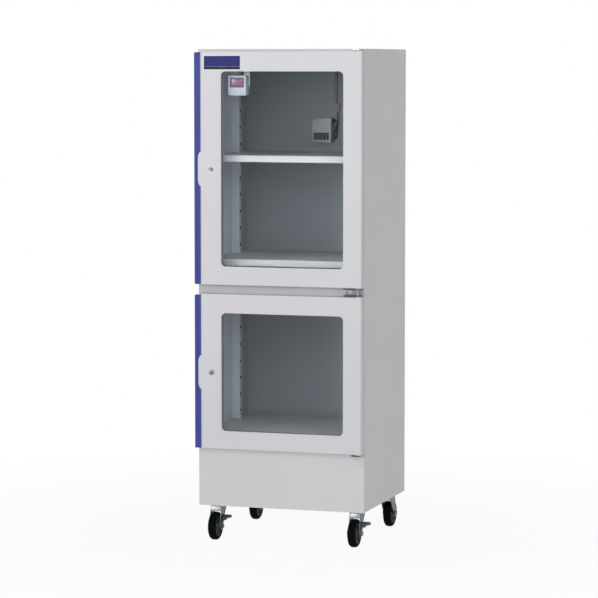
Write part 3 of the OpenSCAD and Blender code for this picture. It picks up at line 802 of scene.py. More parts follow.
# Painted light: the side walls' front part, painted paler where the light through the doors reaches
# it.
WALL_LIGHT: tuple[Patch, ...] = (((-249.4, 1.5, 290.0), (249.4, 300.0, 1429.4), "#C8D0D5"),)
# Painted shade: the insides of the four posts' channels, near black where their slots look into
# shade.
CHANNEL_SHADE: tuple[Patch, ...] = tuple(
    ((low, y + 0.5, 290.0), (high, y + 19.5, 1410.0), "#16181A")
    for low, high in ((-250.0, -225.5), (225.5, 250.0))
    for y in (60.0, 293.0)
)
# Painted shade: the ear under the lower door, dark where the door shades it.
LOWEST_EAR_SHADE: tuple[Patch, ...] = (((210.0, -30.0, 270.0), (250.0, -2.4, 280.0), "#3B3D41"),)

# Light grey enamel, electrostatically sprayed and baked: satin and nearly even; painted shade
# darkens it inside the chamber and in the band between the doors.
BODY = PowderCoat("body_powder_coat", "#D6D6D7", "#D2D2D3", light_and_shade_patches=CHAMBER_AND_BAND_SHADE)
# The same enamel on the side panels, a touch warmer, with painted shade inside the chamber and
# painted light on the side walls' front part.
SIDE = PowderCoat("side_powder_coat", "#D7D7D4", "#D3D3D0", light_and_shade_patches=CHAMBER_AND_BAND_SHADE + WALL_LIGHT)
# The doors are hung and sprayed flat, so their film flows out a little glossier and cooler.
DOOR = PowderCoat("door_powder_coat", "#D7D7DC", "#D3D3D9", 0.38)
# Inside the shell: a dull coat, painted darker as the chamber's shade.
INNER_PAINTED_SHADE = PowderCoat("inner_powder_coat", "#83898E", "#7C8288", 0.5)
# Roll-formed posts, coated before they go in: pale faces, with painted shade near black inside the
# channels behind their slots.
POST = PowderCoat("post_powder_coat", "#D4D9DB", "#CDD2D4", 0.45, light_and_shade_patches=CHANNEL_SHADE)
# Shelves lie flat in the oven, which leaves them pale and softly satin.
SHELF = PowderCoat("shelf_powder_coat", "#CDD0CE", "#C6C9C8", 0.45)
# The lowest bracket is sprayed in place with the body; its ear under the door is dark with painted
# shade.
LOW_BRACKET = PowderCoat("bracket_powder_coat", "#D6D6D7", "#D2D2D3", light_and_shade_patches=LOWEST_EAR_SHADE)
# Fine enamel baked on the dry unit's housing: cool, even, faintly blue.
DRY_UNIT = PowderCoat("dry_unit_enamel", "#CCD1D7", "#C5CAD0")
# A thin dark coat over pressed levers, thinnest at their edges: flat mid grey.
BRAKE = PowderCoat("brake_enamel", "#696C70", "#5C5F63", 0.45)
# Barrel-plated and passivated: bright with soft clouds.
ZINC = PlatedSteel("bright_zinc_plate")
# Turned, buffed and plated: a smooth grey mirror with the faintest marks.
CHROME = PlatedSteel("satin_chromium_plate", "#AEB0B3", "#A2A4A7", 0.34, 30.0, 0.02)
# Extruded, brushed and dyed in the bath: deep blue with a low even sheen.
BLUE = Moulded("blue_anodised_grip", "#323F92", "#2B3889", 0.38, 1.2, 0.05, 1.45)
# Extruded carbon-black rubber: nearly black, almost without a highlight.
SEAL = Moulded("black_bulb_rubber", "#232427", "#1B1C1F", 0.7)
# Filled grey rubber round the panes: chalky and matt.
GLAZING = Moulded("grey_glazing_rubber", "#8E9196", "#868990", 0.65)
# Unpigmented nylon: milky cream with a soft shine.
BUSH = Moulded("natural_nylon_bush", "#E2E1DA", "#D8D7D0", 0.4)
# Pigmented ABS from a finely etched tool: pale blue-grey, softly lit.
CASE = Moulded("pale_abs_case", "#BEC5CF", "#B6BDC7", 0.42, 1.0, 0.06)
# Cast acrylic tinted in the mass: smooth, with a violet cast and sharp glints.
DISPLAY = Moulded("smoked_acrylic_window", "#6A6078", "#625870", 0.16, 4.0, 0.01, 1.49)
# Diffused segments lit from behind: even, washed-out red.
DIGIT = Moulded("red_segment_glow", "#B44A58", "#A64450", 0.4, 1.0, 0.02, 1.46, 0.4)
# Black ABS from an eroded tool: charcoal with a broad dull highlight.
BLACK = Moulded("black_abs", "#37393D", "#2E3034")
# Painted shade: plastic behind the grille, near black for the shade where no lamp reaches, without
# shine.
DEPTH = Moulded("unlit_plastic", "#101517", "#0C1012", 0.9, 1.0, 0.05, 1.2)
# The middle bracket's ears: dark grey painted as the shade between the doors, with a soft sheen.
EAR_SHADE = PowderCoat("blackened_steel", "#4C4E53", "#424449", 0.5)
# Pressed, then zinc plated without brighteners: dull grey, fine-grained.
BRACKET = PlatedSteel("dull_zinc_bracket", "#A2A4A8", "#8E9094", 0.55, 8.0, 0.1)
# Headed wire tumbled in the plating barrel: darker, worn a little smooth.
SCREW = PlatedSteel("dull_zinc_screw", "#8A8C90", "#76787C", 0.4, 6.0, 0.08)
# Upper pressing, plated bright: the lit copy of the fork's zinc, lighter than the legs' copy.
CROWN_ZINC = PlatedSteel("bright_zinc_crown", "#B8BDBF", "#92999C", 0.42, 10.0, 0.08)
# The same zinc on the legs, painted darker as shade: blotched from mid to dark grey.
FORK_LEG_SHADE = PlatedSteel("pressed_zinc_fork", "#868E92", "#3E464A", 0.42, 10.0, 0.08)
# Glass-filled nylon from a coarse tool: slate grey and dry-looking.
HUB = Moulded("grey_nylon_hub", "#4A4E52", "#42464A", 0.55, 1.0, 0.1, 1.3)
# Vulcanised rubber from a blasted mould: flat black that shows no lamp.
TYRE = Moulded("black_tyre_rubber", "#090B0D", "#060708", 0.85, 1.4, 0.2, 1.15)
# Milled and brushed after plating: softer and a little darker than its ring.
LOCK_FACE = PlatedSteel("brushed_lock_plug", "#9EA0A4", "#909296", 0.42, 8.0, 0.05)
# The housing's enamel on the lattice's thin bars, painted darker as the shade between them.
LATTICE_SHADE = PowderCoat("dry_unit_lattice_enamel", "#A0A8AC", "#98A0A4", 0.5)
# Extruded rigid PVC: flat neutral grey with a weak sheen along its length.
RACEWAY = Moulded("grey_pvc_raceway", "#95989B", "#8D9093", 0.5, 1.0, 0.05)
# Grey ABS from the same kind of tool: a little lighter than the raceway.
CONNECTOR = Moulded("grey_abs_connector", "#A8A9AB", "#9FA0A2", 0.5, 1.0, 0.05)
# Soft PVC drawn over the cores: dark slate with one long soft highlight.
LEAD = Moulded("dark_pvc_lead", "#3A3C42", "#323439", 0.45, 1.0, 0.04)
# Bare aluminium brushed before printing: a pale, streaky edge.
BADGE_METAL = PlatedSteel("brushed_badge_aluminium", "#D8DADC", "#C8CACC", 0.35, 10.0, 0.08)
# Screen-printed ink sealed in the anodic film: flat navy, barely glossy.
BADGE = Moulded("navy_printed_aluminium", "#2C3376", "#272E6F", 0.4, 1.0, 0.02, 1.22)
# The second ink of the same print: flat charcoal.
BADGE_FOOT = Moulded("charcoal_printed_aluminium", "#25292E", "#202429", 0.4, 1.0, 0.02, 1.22)
# Floated on tin, so flat and clear: the chamber shows through with a faint mirror over it.
GLASS = FloatGlass("clear_float_glass")

SLOT_FINISH: dict[str, Finish] = {
    "body_enamel": BODY,
    "door_enamel": DOOR,
    "inner_enamel": INNER_PAINTED_SHADE,
    "shelf_enamel": SHELF,
    "handle_blue": BLUE,
    "zinc_plate": ZINC,
    "lock_chrome": CHROME,
    "door_glass": GLASS,
    "seal_rubber": SEAL,
    "bush_nylon": BUSH,
    "hygrometer_abs": CASE,
    "display_acrylic": DISPLAY,
    "dry_unit_enamel": DRY_UNIT,
    "black_plastic": BLACK,
    "hub_nylon": HUB,
    "tyre_rubber": TYRE,
    "brake_steel": BRAKE,
}

NODE_FINISH: dict[str, Finish] = {
    "left_side_panel": SIDE,
    "right_side_panel": SIDE,
    "bottom_hinge_bracket": LOW_BRACKET,
    "hinge_pins": SCREW,
    "upper_glazing_seal": GLAZING,
    "lower_glazing_seal": GLAZING,
    "hygrometer_hanger": SHELF,
}


def dress_frame() -> None:
    """Gives every CAD node a finish of its own, or that of its material slot."""
    for name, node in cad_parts.items():
        slots = node.material_slots
        was = slots[0].material.name.split(".")[0] if slots else ""
        finish = NODE_FINISH.get(name, SLOT_FINISH.get(was, BODY))
        for slot in slots:
            slot.material = finish.material()
        log.info("%s wears %s", name, finish.name)


# ---- studio ----


def bearing(azimuth: float, height: float) -> Vector:
    """Returns the way that lies some degrees right of the front and some above the floor."""
    a, h = math.radians(azimuth), math.radians(height)
    return Vector((math.sin(a) * math.cos(h), -math.cos(a) * math.cos(h), math.sin(h)))


def stand(data: bpy.types.ID, at: Point, ahead: Vector) -> bpy.types.Object:
    """Puts a camera or a lamp into the scene.

    Args:
        data: its camera or light data.
        at: where it stands, in metres.
        ahead: the way that it looks.

    Returns:
        The object.
    """
    obj = bpy.data.objects.new(data.name, data)
    bpy.context.scene.collection.objects.link(obj)
    obj.location = at
    obj.rotation_euler = ahead.to_track_quat("-Z", "Y").to_euler()
    return obj


def looked_at(tree: Tree) -> Link:
    """Tells what the camera sees, straight, through glass or mirrored, from light.

    Args:
        tree: the node tree.

    Returns:
        1 for what is seen, and 0 for light.
    """
    path = add(tree, "LightPath")
    straight = maths(tree, "MAXIMUM", (path, "Is Camera Ray"), (path, "Is Transmission Ray"))
    return maths(tree, "MAXIMUM", straight, (path, "Is Glossy Ray"))


@dataclass(frozen=True)
class Sun:
    """A soft and very distant lamp: its bearing, and how wide it looks, in degrees."""

    name: str
    strength: float
    azimuth: float
    height: float
    spread: float

    def build(self) -> None:
        """Hangs the lamp so that it shines on the cabinet."""
        data = bpy.data.lights.new(self.name, "SUN")
        data.energy = self.strength
        data.angle = math.radians(self.spread)
        stand(data, (0, 0, 0), -bearing(self.azimuth, self.height))


@dataclass
class Studio:
    """Pale floor, white surround, soft lamps and the camera.

    The share of the floor that shows as plain white grows from near_share to 1 over fade.
    """

    camera_at: Point = (2410.56, -7407.07, 1390.91)
    yaw: float = 17.641
    pitch: float = -4.96
    lens: float = 163.98
    sensor: float = 36.0
    sight_m: float = 100.0
    floor_m: float = 30.0
    fade: Pair = (0.6, 1.8)
    near_share: float = 0.93
    suns: tuple[Sun, ...] = (
        Sun("key_lamp", 1.62, -33.5, 2.0, 24.0),
        Sun("side_lamp", 0.80, 51.0, 10.0, 40.0),
    )
    head: float = 8.0
    head_at: Point = (0.3, -2.8, 1.65)
    head_aim: Point = (0.0, 0.0, 1.3)
    head_size: float = 0.9
    ambient: float = 0.31

    def camera(self) -> None:
        """Puts the camera a little to the cabinet's right, level with its top."""
        data = bpy.data.cameras.new("camera")
        data.sensor_width = self.sensor
        data.lens = self.lens
        data.clip_end = self.sight_m
        ahead = -bearing(self.yaw, -self.pitch)
        bpy.context.scene.camera = stand(data, place(self.camera_at), ahead)

    def head_box(self) -> None:
        """Adds the soft box in front, which leaves the doors a little brighter at their top."""
        data = bpy.data.lights.new("head_box", "AREA")
        data.energy = self.head
        data.size = self.head_size
        stand(data, self.head_at, Vector(self.head_aim) - Vector(self.head_at))

    def floor(self) -> None:
        """Lays a pale matt floor that fades into the white surround and keeps soft shadows."""
        clear_bench()
        disc = {"vertices": 96, "radius": self.floor_m, "fill_type": "NGON"}
        bpy.ops.mesh.primitive_circle_add(location=(0, 0, 0), **disc)
        floor = bpy.context.active_object
        floor.name = "studio_floor"
        # Rolled white paper: it scatters evenly and shows no lamp.
        made = bpy.data.materials.new("matt_white_floor")
        tree = empty_tree(made)
        where = (add(tree, "TexCoord"), "Object")
        far = (add(tree, "VectorMath", {"operation": "LENGTH"}, {0: where}), "Value")
        white_share = ranged(tree, far, self.near_share, 1.0, self.fade)
        share = maths(tree, "MULTIPLY", looked_at(tree), white_share)
        matt = add(tree, "BsdfDiffuse", None, {"Color": linear("#F2F2F2")})
        white = add(tree, "Emission", None, {"Color": linear("#FFFFFF"), "Strength": 1.0})
        mix = add(tree, "MixShader", None, {0: share, 1: (matt, 0), 2: (white, 0)})
        add(tree, "OutputMaterial", None, {"Surface": (mix, 0)})
        floor.data.materials.append(made)

    def world(self) -> None:
        """Surrounds the cabinet with white that is dimmer as a lamp than it looks."""
        world = bpy.data.worlds.new("white_surround")
        bpy.context.scene.world = world
        tree = empty_tree(world)
        strength = ranged(tree, looked_at(tree), self.ambient, 1.0, (0.0, 1.0))
        sky = {"Color": linear("#FFFFFF"), "Strength": strength}
        surface = (add(tree, "Background", None, sky), 0)
        add(tree, "OutputWorld", None, {"Surface": surface})

    def build(self) -> None:
        """Sets up camera, surround, floor and lamps."""
        self.camera()
        self.world()
        self.floor()
        for sun in self.suns:
            sun.build()
        self.head_box()
        bpy.context.scene.view_settings.view_transform = "Standard"


# ---- doors ----


class Leaf(Enum):
    """The two doors: their lowest and highest z, and the height of their lock."""

    UPPER = ("upper", 752.5, 1424.5, 1086.5)
    LOWER = ("lower", 276.0, 727.5, 499.5)


@dataclass
class Lock:
    """Cam lock set into a door's stile: rolled flange, sunk plug and keyway."""

    body: str
    height: float
    x: float = -201.0
    front: float = -28.5
    flange_r: float = 9.5
    flange_t: float = 1.5
    plug_r: float = 6.0
    plug_sunk: float = 0.5
    plug_deep: float = 6.0
    keyway: Point = (1.6, 4.0, 7.2)
    soft: float = 0.5

    def flange(self) -> Piece:
        """Spins the flange's domed section about the lock's axis.

        Returns:
            The flange.
        """
        r, y, t, bore = self.flange_r, self.front, self.flange_t, self.plug_r
        section = [
            (bore + 0.1, y - 0.3), (bore + 0.1, y - t + 0.25), (bore + 0.5, y - t),
            (r - 1.6, y - t), (r - 0.7, y - t + 0.3), (r - 0.15, y - t + 0.8), (r, y),
            (r - 0.4, y + 0.02),
        ]
        points = [(self.x + a, b, self.height) for a, b in section]
        centre = (self.x, 0, self.height)
        return Piece.lathe(f"{self.body}_lock_flange", points, centre, Axis.Y, 40)

    def plug(self) -> Piece:
        """Turns the plug and cuts its keyway.

        Returns:
            The plug.
        """
        x, y, z = self.x, self.front - self.flange_t + self.plug_sunk, self.height
        ends = (x, y, z), (x, y + self.plug_deep, z)
        plug = Piece.rod(f"{self.body}_lock_face", self.plug_r - 0.1, *ends, 40).ease(self.soft)
        wide, deep, tall = self.keyway
        low, high = (x - wide / 2, y - 1, z - tall / 2), (x + wide / 2, y + deep, z + tall / 2)
        return plug.carve(Piece.block("key", low, high).ease(self.soft))

    def build(self) -> None:
        """Settles the flange and the plug face over the drawn lock."""
        self.flange().settle(CHROME, f"{self.body}_door", "lock_chrome")
        self.plug().settle(LOCK_FACE, f"{self.body}_lock", "lock_chrome")


@dataclass
class Handle:
    """Blue extruded grip hooked round a door's free edge."""

    body: str
    low: float
    high: float
    left: float = -254.0
    edge: float = -236.0
    front: float = -25.0
    back: float = -8.5
    wall: float = 3.0
    corner: float = 6.0
    short: Pair = (1.5, 3.5)

    def section(self) -> list[Pair]:
        """Returns the extrusion's section seen from above, in x and y.

        Returns:
            The section's corners in order.
        """
        x, e, y, w = self.left, self.edge, self.front, self.wall
        nose = [(x, y + 2.2), (x + 0.3, y + 1.0), (x + 1.0, y + 0.3), (x + 2.2, y)]
        hollow = [(x + 5.0, y + 0.15), (x + 8.5, y + 0.9), (x + 12.5, y + 1.5)]
        lap = [(e + 1.5, y + 1.7), (e + 0.45, y + 3.2), (e, y + 6.5)]
        web = [(e, self.back), (e - w, self.back), (e - w, y + 4.0), (e - 4.0, y + 3.6)]
        inside = [(x + 4.0, y + 3.0), (x + w, y + 3.8), (x + w, y + 4.8)]
        lip = [(x + 2.5, y + 5.7), (x + 1.5, y + 6.0), (x + 0.5, y + 5.7), (x, y + 4.8)]
        return nose + hollow + lap + web + inside + lip

    def build(self) -> None:
        """Extrudes the section up the door and rounds its top outer corner."""
        low, high, r = self.low + self.short[0], self.high - self.short[1], self.corner
        points = [(x, y, low) for x, y in self.section()]
        grip = Piece.prism(f"{self.body}_grip", points, (0, 0, high - low)).edit()
        for degrees in (15, 45, 75):
            a = math.radians(degrees)
            out = (-math.sin(a), 0.0, math.cos(a))
            grip.slice((self.left + r + out[0] * r, 0.0, high - r + out[2] * r), out, cut=True)
        drawn_handle = (f"{self.body}_door_handle",)
        grip.tidy().done().settle(BLUE, f"{self.body}_door", "handle_blue", drawn_handle, 32.0)


@dataclass
class Gasket:
    """Hollow bulb seal pressed round the back of a door."""

    body: str
    low: float
    high: float
    left: float = -232.0
    right: float = 236.0
    margin: float = 4.0
    back: float = -6.0
    wide: float = 10.0
    bulb: float = 7.0
    corner: float = 5.0

    def ring(self, name: str, wide: float, near: float, far: float, soft: float) -> Piece:
        """Makes one rectangular ring of the seal, in the middle of its width.

        Args:
            name: the piece's name.
            wide: its width.
            near: y of its front.
            far: y of its back.
            soft: radius of its edges.

        Returns:
            The ring.
        """
        inset = (self.wide - wide) / 2
        x0, x1 = self.left + inset, self.right - inset
        z0, z1 = self.low + self.margin + inset, self.high - self.margin - inset
        corners = [(x0, z0), (x1, z0), (x1, z1), (x0, z1)]
        ring = Piece.outline(name, [(x, near, z) for x, z in corners])
        ring.bevel(self.corner, 4, corners=True)
        bpy.ops.mesh.select_all(action="SELECT")
        ring.inset(wide)
        bpy.ops.mesh.delete(type="FACE")
        bpy.ops.mesh.select_all(action="SELECT")
        return ring.extrude((0, far - near, 0)).tidy().done().ease(soft, 3, 50.0)

    def build(self) -> None:
        """Joins the foot and the bulb."""
        foot = self.ring(f"{self.body}_bulb_seal", self.wide, self.back, self.back + 2.2, 0.6)
        bulb = self.ring("bulb", self.bulb, self.back + 1.9, -0.3, 1.7)
        drawn_gasket = (f"{self.body}_door_gasket",)
        foot.weld([bulb]).settle(SEAL, f"{self.body}_door", "seal_rubber", drawn_gasket)


@dataclass
class Badge:
    """Bare printed aluminium plate on the upper door, navy over a charcoal foot."""

    low: Point = (-222.6, -29.3, 1371.0)
    high: Point = (-111.5, -28.5, 1411.0)
    foot: float = 8.5
    rim: float = 0.7
    gap: float = 0.25
    corner: float = 1.2
    field_corner: float = 0.8

    def build(self) -> None:
        """Makes the plate and its two printed fields."""
        (x0, y0, z0), (x1, y1, z1) = self.low, self.high
        plate = Piece.block("badge_plate", (x0, y0 + 0.2, z0), (x1, y1, z1))
        plate.round_off(along(Axis.Y), self.corner, 3).ease(0.25, 2, 60.0)
        plate.settle(BADGE_METAL, "upper_door", "door_enamel")
        split, rim = z0 + self.foot, self.rim
        for name, low, high, finish in (
            ("badge_field", split, z1 - rim, BADGE),
            ("badge_foot", z0 + rim, split - self.gap, BADGE_FOOT),
        ):
            ink = Piece.block(name, (x0 + rim, y0, low), (x1 - rim, y0 + 0.3, high))
            ink.round_off(along(Axis.Y), self.field_corner, 3).ease(0.08, 1, 60.0)
            ink.settle(finish, "upper_door", "handle_blue")


@dataclass
class Door:
    """One glazed door with its grip, seal and lock."""

    leaf: Leaf

    def build(self) -> None:
        """Builds what the drawn door is dressed with."""
        name, low, high, lock = self.leaf.value
        Handle(name, low, high).build()
        Gasket(name, low, high).build()
        Lock(name, lock).build()


# ---- inside ----


@dataclass
class Hygrometer:
    """Moulded hygrometer hung from the head rail, with a lit three-figure display."""

    low: Point = (-160.0, 4.0, 1297.0)
    high: Point = (-106.0, 30.0, 1354.0)
    corner: float = 4.0
    window_low: Pair = (-154.5, 1319.5)
    window_high: Pair = (-111.5, 1348.5)
    window_deep: float = 1.2
    seam: Pair = (9.0, 9.8)
    seam_deep: float = 0.4
    reading: str = "350"
    figure: Point = (7.6, 0.3, 13.0)
    figure_gap: float = 4.2
    stroke: float = 1.5

    def case(self) -> Piece:
        """Moulds the case: rounded upright edges, sunk window and a parting line.

        Returns:
            The case.
        """
        case = Piece.block("hygrometer_shell", self.low, self.high)
        case.edit().pick(Pick.EDGE, along(Axis.Y)).bevel(self.corner, 5)
        case.sink_window(self.window_low, self.window_high, self.window_deep)
        return case.part_line(*self.seam, self.seam_deep).done().ease(0.7, 2, 55.0)

    def window(self) -> Piece:
        """Makes the smoked window that fills the recess.

        Returns:
            The window.
        """
        (x0, z0), (x1, z1), y = self.window_low, self.window_high, self.low[1]
        low, high = (x0 + 0.2, y + 0.5, z0 + 0.2), (x1 - 0.2, y + 1.3, z1 - 0.2)
        return Piece.block("hygrometer_window", low, high).ease(0.3)

    def bar(self, length: float, upright: bool) -> Piece:
        """Cuts one lit bar with pointed ends at the drawing's zero.

        Args:
            length: from point to point.
            upright: whether it stands.

        Returns:
            The bar.
        """
        tip, thick = length / 2 - 0.25, self.stroke / 2
        side = tip - thick
        flat = [(-tip, 0), (-side, thick), (side, thick), (tip, 0), (side, -thick), (-side, -thick)]
        points = [(b, 0, a) if upright else (a, 0, b) for a, b in flat]
        return Piece.prism("stroke", points, (0, self.figure[1], 0))

    def figures(self) -> Piece:
        """Sets the reading in seven-bar figures and joins them.

        Returns:
            The lit bars.
        """
        wide, thick, tall = self.figure
        bars = {
            "a": (0, tall / 2, False), "b": (wide / 2, tall / 4, True),
            "c": (wide / 2, -tall / 4, True), "d": (0, -tall / 2, False),
            "e": (-wide / 2, -tall / 4, True), "f": (-wide / 2, tall / 4, True),
            "g": (0, 0, False),
        }
        lit = {"0": "abcdef", "3": "abcdg", "5": "afgcd"}
        flat, upright = self.bar(wide, False), self.bar(tall / 2, True)
        x0, z0 = ((a + b) / 2 for a, b in zip(self.window_low, self.window_high))
        made = []
        for k, figure in enumerate(self.reading):
            shift = (k - (len(self.reading) - 1) / 2) * (wide + self.figure_gap)
            for x, z, stands in (bars[bar] for bar in lit[figure]):
                step = (x0 + shift + x, self.low[1] + thick, z0 + z)
                made.append((upright if stands else flat).copy("bar", step))
        scrap(flat, upright)
        return joined("hygrometer_figures", made)

    def build(self) -> None:
        """Settles the hygrometer over its drawn case."""
        self.case().settle(CASE, "cabinet", "hygrometer_abs", ("hygrometer_case",))
        self.window().settle(DISPLAY, "cabinet", "display_acrylic", ("hygrometer_display",))
        self.figures().settle(DIGIT, "cabinet", "display_acrylic")


@dataclass
class DryUnit:
    """Dry unit on the back wall: moulded housing, slotted grille and hanging lead.

    The lead's route gives x, how far each point stands out from the back wall, and how far it
    lies above the unit's underside.
    """

    low: Point = (-30.0, 393.8, 1152.5)
    high: Point = (30.0, 433.8, 1226.0)
    cut: Pair = (12.0, 13.5)
    corner: float = 2.5
    seam: Pair = (14.0, 15.2)
    seam_deep: float = 0.6
    grille_low: Pair = (-24.5, 1160.5)
    grille_high: Pair = (24.5, 1182.5)
    grille_deep: float = 3.0
    bar_half: Pair = (0.9, 0.7)
    columns: int = 5
    rows: int = 3
    gland: Point = (30.0, 417.3, 1217.0)
    raceway_x: Pair = (32.0, 40.25)
    raceway_z: Pair = (1266.0, 1428.6)
    raceway_out: float = 9.5
    connector_low: Point = (35.0, 420.3, 1244.0)
    connector_high: Point = (48.0, 433.8, 1269.0)
    connector_foot: float = 3.0
    lead_r: float = 1.9
    wall: float = 433.8
    route: tuple[Point, ...] = (
        (41.5, 7, 91.5), (41.5, 7, 84), (41.6, 7, 72), (41.4, 7, 60), (40.8, 7, 48),
        (39.9, 7, 37.5), (38.8, 7, 28.5), (37.9, 7, 19.5), (37.4, 8.5, 14.9), (36.9, 12.4, 12.1),
        (36.6, 17.2, 12.1), (36.4, 21.1, 14.9), (36.4, 22.6, 19.5), (36.7, 22.4, 26),
        (37.6, 21.7, 33), (39.2, 20.6, 40), (41.2, 19.2, 46.5), (42.9, 17.8, 52),
        (43.8, 16.8, 56.7), (43.2, 16.5, 59.7), (41.5, 16.5, 62.2), (39, 16.5, 63.9),
        (36, 16.5, 64.5),
    )

    def housing(self) -> Piece:
        """Moulds the housing with its cut corner, sunk grille seat and parting line.

        Returns:
            The housing.
        """
        across, down = self.cut
        cut_at = (self.low[0] + across, 0, self.high[2])
        shell = Piece.block("dry_unit_shell", self.low, self.high).edit()
        shell.slice(cut_at, (-down, 0, across), cut=True).tidy()
        shell.pick(Pick.EDGE, along(Axis.Y)).bevel(self.corner, 4)
        shell.sink_window(self.grille_low, self.grille_high, self.grille_deep)
        near, far = (self.low[1] + y for y in self.seam)
        return shell.part_line(near, far, self.seam_deep).done().ease(1.0, 3, 55.0)

    def strain_relief(self) -> Piece:
        """Turns the ribbed strain relief that the lead leaves by.

        Returns:
            The strain relief.
        """
        x, y, z = self.gland
        section = [(-0.6, 5.0), (1.2, 5.0)]
        for k in range(3):
            near, r = 1.4 + 1.5 * k, 4.4 - 0.5 * k
            section += [(near, r), (near + 0.8, r), (near + 1.0, r - 0.8), (near + 1.4, r - 0.8)]
        section += [(6.0, 2.5), (6.0, self.lead_r - 0.1)]
        points = [(x + a, y + b, z) for a, b in section]
        return Piece.lathe("dry_unit_strain_relief", points, (0, y, z), Axis.X, 28)

    def grille(self) -> tuple[Piece, Piece]:
        """Makes the backing, near black as painted shade, and the lattice of bars in front of it.

        Returns:
            The backing and the lattice.
        """
        (x0, z0), (x1, z1), y = self.grille_low, self.grille_high, self.low[1]
        low, high = (x0 + 0.1, y + 2.4, z0 + 0.1), (x1 - 0.1, y + self.grille_deep, z1 - 0.1)
        back = Piece.block("dry_unit_dark", low, high).ease(0.2, 1)
        wide, tall = self.bar_half
        upright = Piece.block("bar", (-wide, y + 0.3, low[2]), (wide, y + 2.6, high[2])).ease(0.3)
        level = Piece.block("bar", (low[0], y + 0.4, -tall), (high[0], y + 2.6, tall)).ease(0.3)
        cell, row = (x1 - x0) / self.columns, (z1 - z0) / self.rows
        xs = [x0 + k * cell for k in range(1, self.columns)] + [x0 + wide, x1 - wide]
        zs = [z0 + k * row for k in range(1, self.rows)] + [z0 + wide, z1 - wide]
        bars = [upright.copy("bar", (x, 0, 0)) for x in xs]
        bars += [level.copy("bar", (0, 0, z)) for z in zs]
        scrap(upright, level)
        return back, joined("dry_unit_lattice", bars)

    def raceway(self) -> Piece:
        """Extrudes the raceway's trough and its snapped-on lid down from the ceiling.

        Returns:
            The raceway.
        """
        (x0, x1), y, (z0, z1) = self.raceway_x, self.wall, self.raceway_z
        front = y - self.raceway_out
        trough = Piece.block("dry_unit_raceway", (x0 + 0.5, y - 6.0, z0), (x1 - 0.5, y, z1))
        lid = Piece.block("lid", (x0, front, z0 + 0.6), (x1, y - 5.4, z1))
        lid.round_off(along(Axis.Z, lambda c: c.y < front + 0.1), 1.6, 4).ease(0.25, 1, 50.0)
        return trough.ease(0.3).weld([lid])

    def connector(self) -> Piece:
        """Moulds the connector: a body stepped in at its foot, with grip ribs across its face.

        Returns:
            The connector.
        """
        (x0, y0, z0), high, foot = self.connector_low, self.connector_high, self.connector_foot
        body = Piece.block("dry_unit_connector", (x0, y0, z0 + foot), high).edit()
        body.pick(Pick.FACE, lambda c, n: n.z < -0.9).inset(1.6).extrude((0, 0, -foot))
        body.done().ease(0.9, 3, 50.0)
        groove = Piece.block("groove", (x0 - 1, y0 - 1, -0.6), (high[0] + 1, y0 + 0.7, 0.6))
        return body.punch(groove, [(0, 0, z0 + 7.0 + 2.4 * k) for k in range(4)])

    def lead(self) -> None:
        """Hangs the lead between connector and strain relief as one smooth cord."""
        clear_bench()
        data = bpy.data.curves.new("dry_unit_cord", "CURVE")
        data.dimensions = "3D"
        data.bevel_depth = self.lead_r * MM
        data.bevel_resolution = 4
        data.resolution_u = 6
        data.use_fill_caps = True
        spline = data.splines.new("BEZIER")
        spline.bezier_points.add(len(self.route) - 1)
        points = [place((x, self.wall - out, self.low[2] + up)) for x, out, up in self.route]
        for knot, at in zip(spline.bezier_points, points):
            knot.co = at
            knot.handle_left_type = knot.handle_right_type = "AUTO"
        cord = bpy.data.objects.new("dry_unit_cord", data)
        bpy.context.scene.collection.objects.link(cord)
        data.materials.append(LEAD.material())
        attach(cord, "cabinet")
        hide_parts("dry_unit_lead")

    def build(self) -> None:
        """Settles the dry unit over its drawn housing."""
        self.housing().settle(DRY_UNIT, "cabinet", "dry_unit_enamel", ("dry_unit_housing",))
        self.strain_relief().settle(BLACK, "cabinet", "black_plastic")
        back, lattice = self.grille()
        back.settle(DEPTH, "cabinet", "black_plastic", ("dry_unit_grille",))
        # The lattice wears the housing's enamel painted darker as shade.
        lattice.settle(LATTICE_SHADE, "cabinet", "dry_unit_enamel")
        self.raceway().settle(RACEWAY, "cabinet", "black_plastic", ("cable_raceway",))
        self.connector().settle(CONNECTOR, "cabinet", "black_plastic")
        self.lead()


@dataclass
class Posts:
    """Four slotted shelf posts, pressed as one and set against the side walls."""

    face: float = 225.0
    wall: float = 248.8
    low: float = 292.8
    high: float = 1406.0
    deep: float = 20.0
    sheet: float = 1.1
    fold: float = 0.9
    places: Pair = (60.0, 293.0)
    slot: Pair = (14.0, 8.4)
    slot_corner: float = 1.2
    first: float = 298.3
    pitch: float = 50.0
    count: int = 22

    def post(self) -> Piece:
        """Folds the channel and punches its row of round-cornered slots.

        Returns:
            The post.
        """
        x0, x1, d, t = self.face, self.wall, self.deep, self.sheet
        plan = [
            (x1, 0), (x0, 0), (x0, d), (x1, d), (x1, d - t), (x0 + t, d - t), (x0 + t, t), (x1, t),
        ]
        points = [(x, y, self.low) for x, y in plan]
        post = Piece.prism("post", points, (0, 0, self.high - self.low))
        post.round_off(along(Axis.Z, lambda c: abs(c.x - x0) < 0.05), self.fold, 3)
        wide, tall = self.slot
        low, high = (x0 - 2, (d - wide) / 2, -tall / 2), (x0 + 3, (d + wide) / 2, tall / 2)
        punch = Piece.block("punch", low, high).round_off(along(Axis.X), self.slot_corner, 3)
        return post.punch(punch, [(0, 0, self.first + k * self.pitch) for k in range(self.count)])

    def build(self) -> None:
        """Copies the post to the four places, the left ones mirrored."""
        right = self.post()
        left = right.copy("post").flip()
        made = [side.copy("post", (0, y, 0)) for side in (right, left) for y in self.places]
        scrap(right, left)
        whole = joined("slotted_posts", made)
        whole.settle(POST, "cabinet", "inner_enamel", ("shelf_posts",))


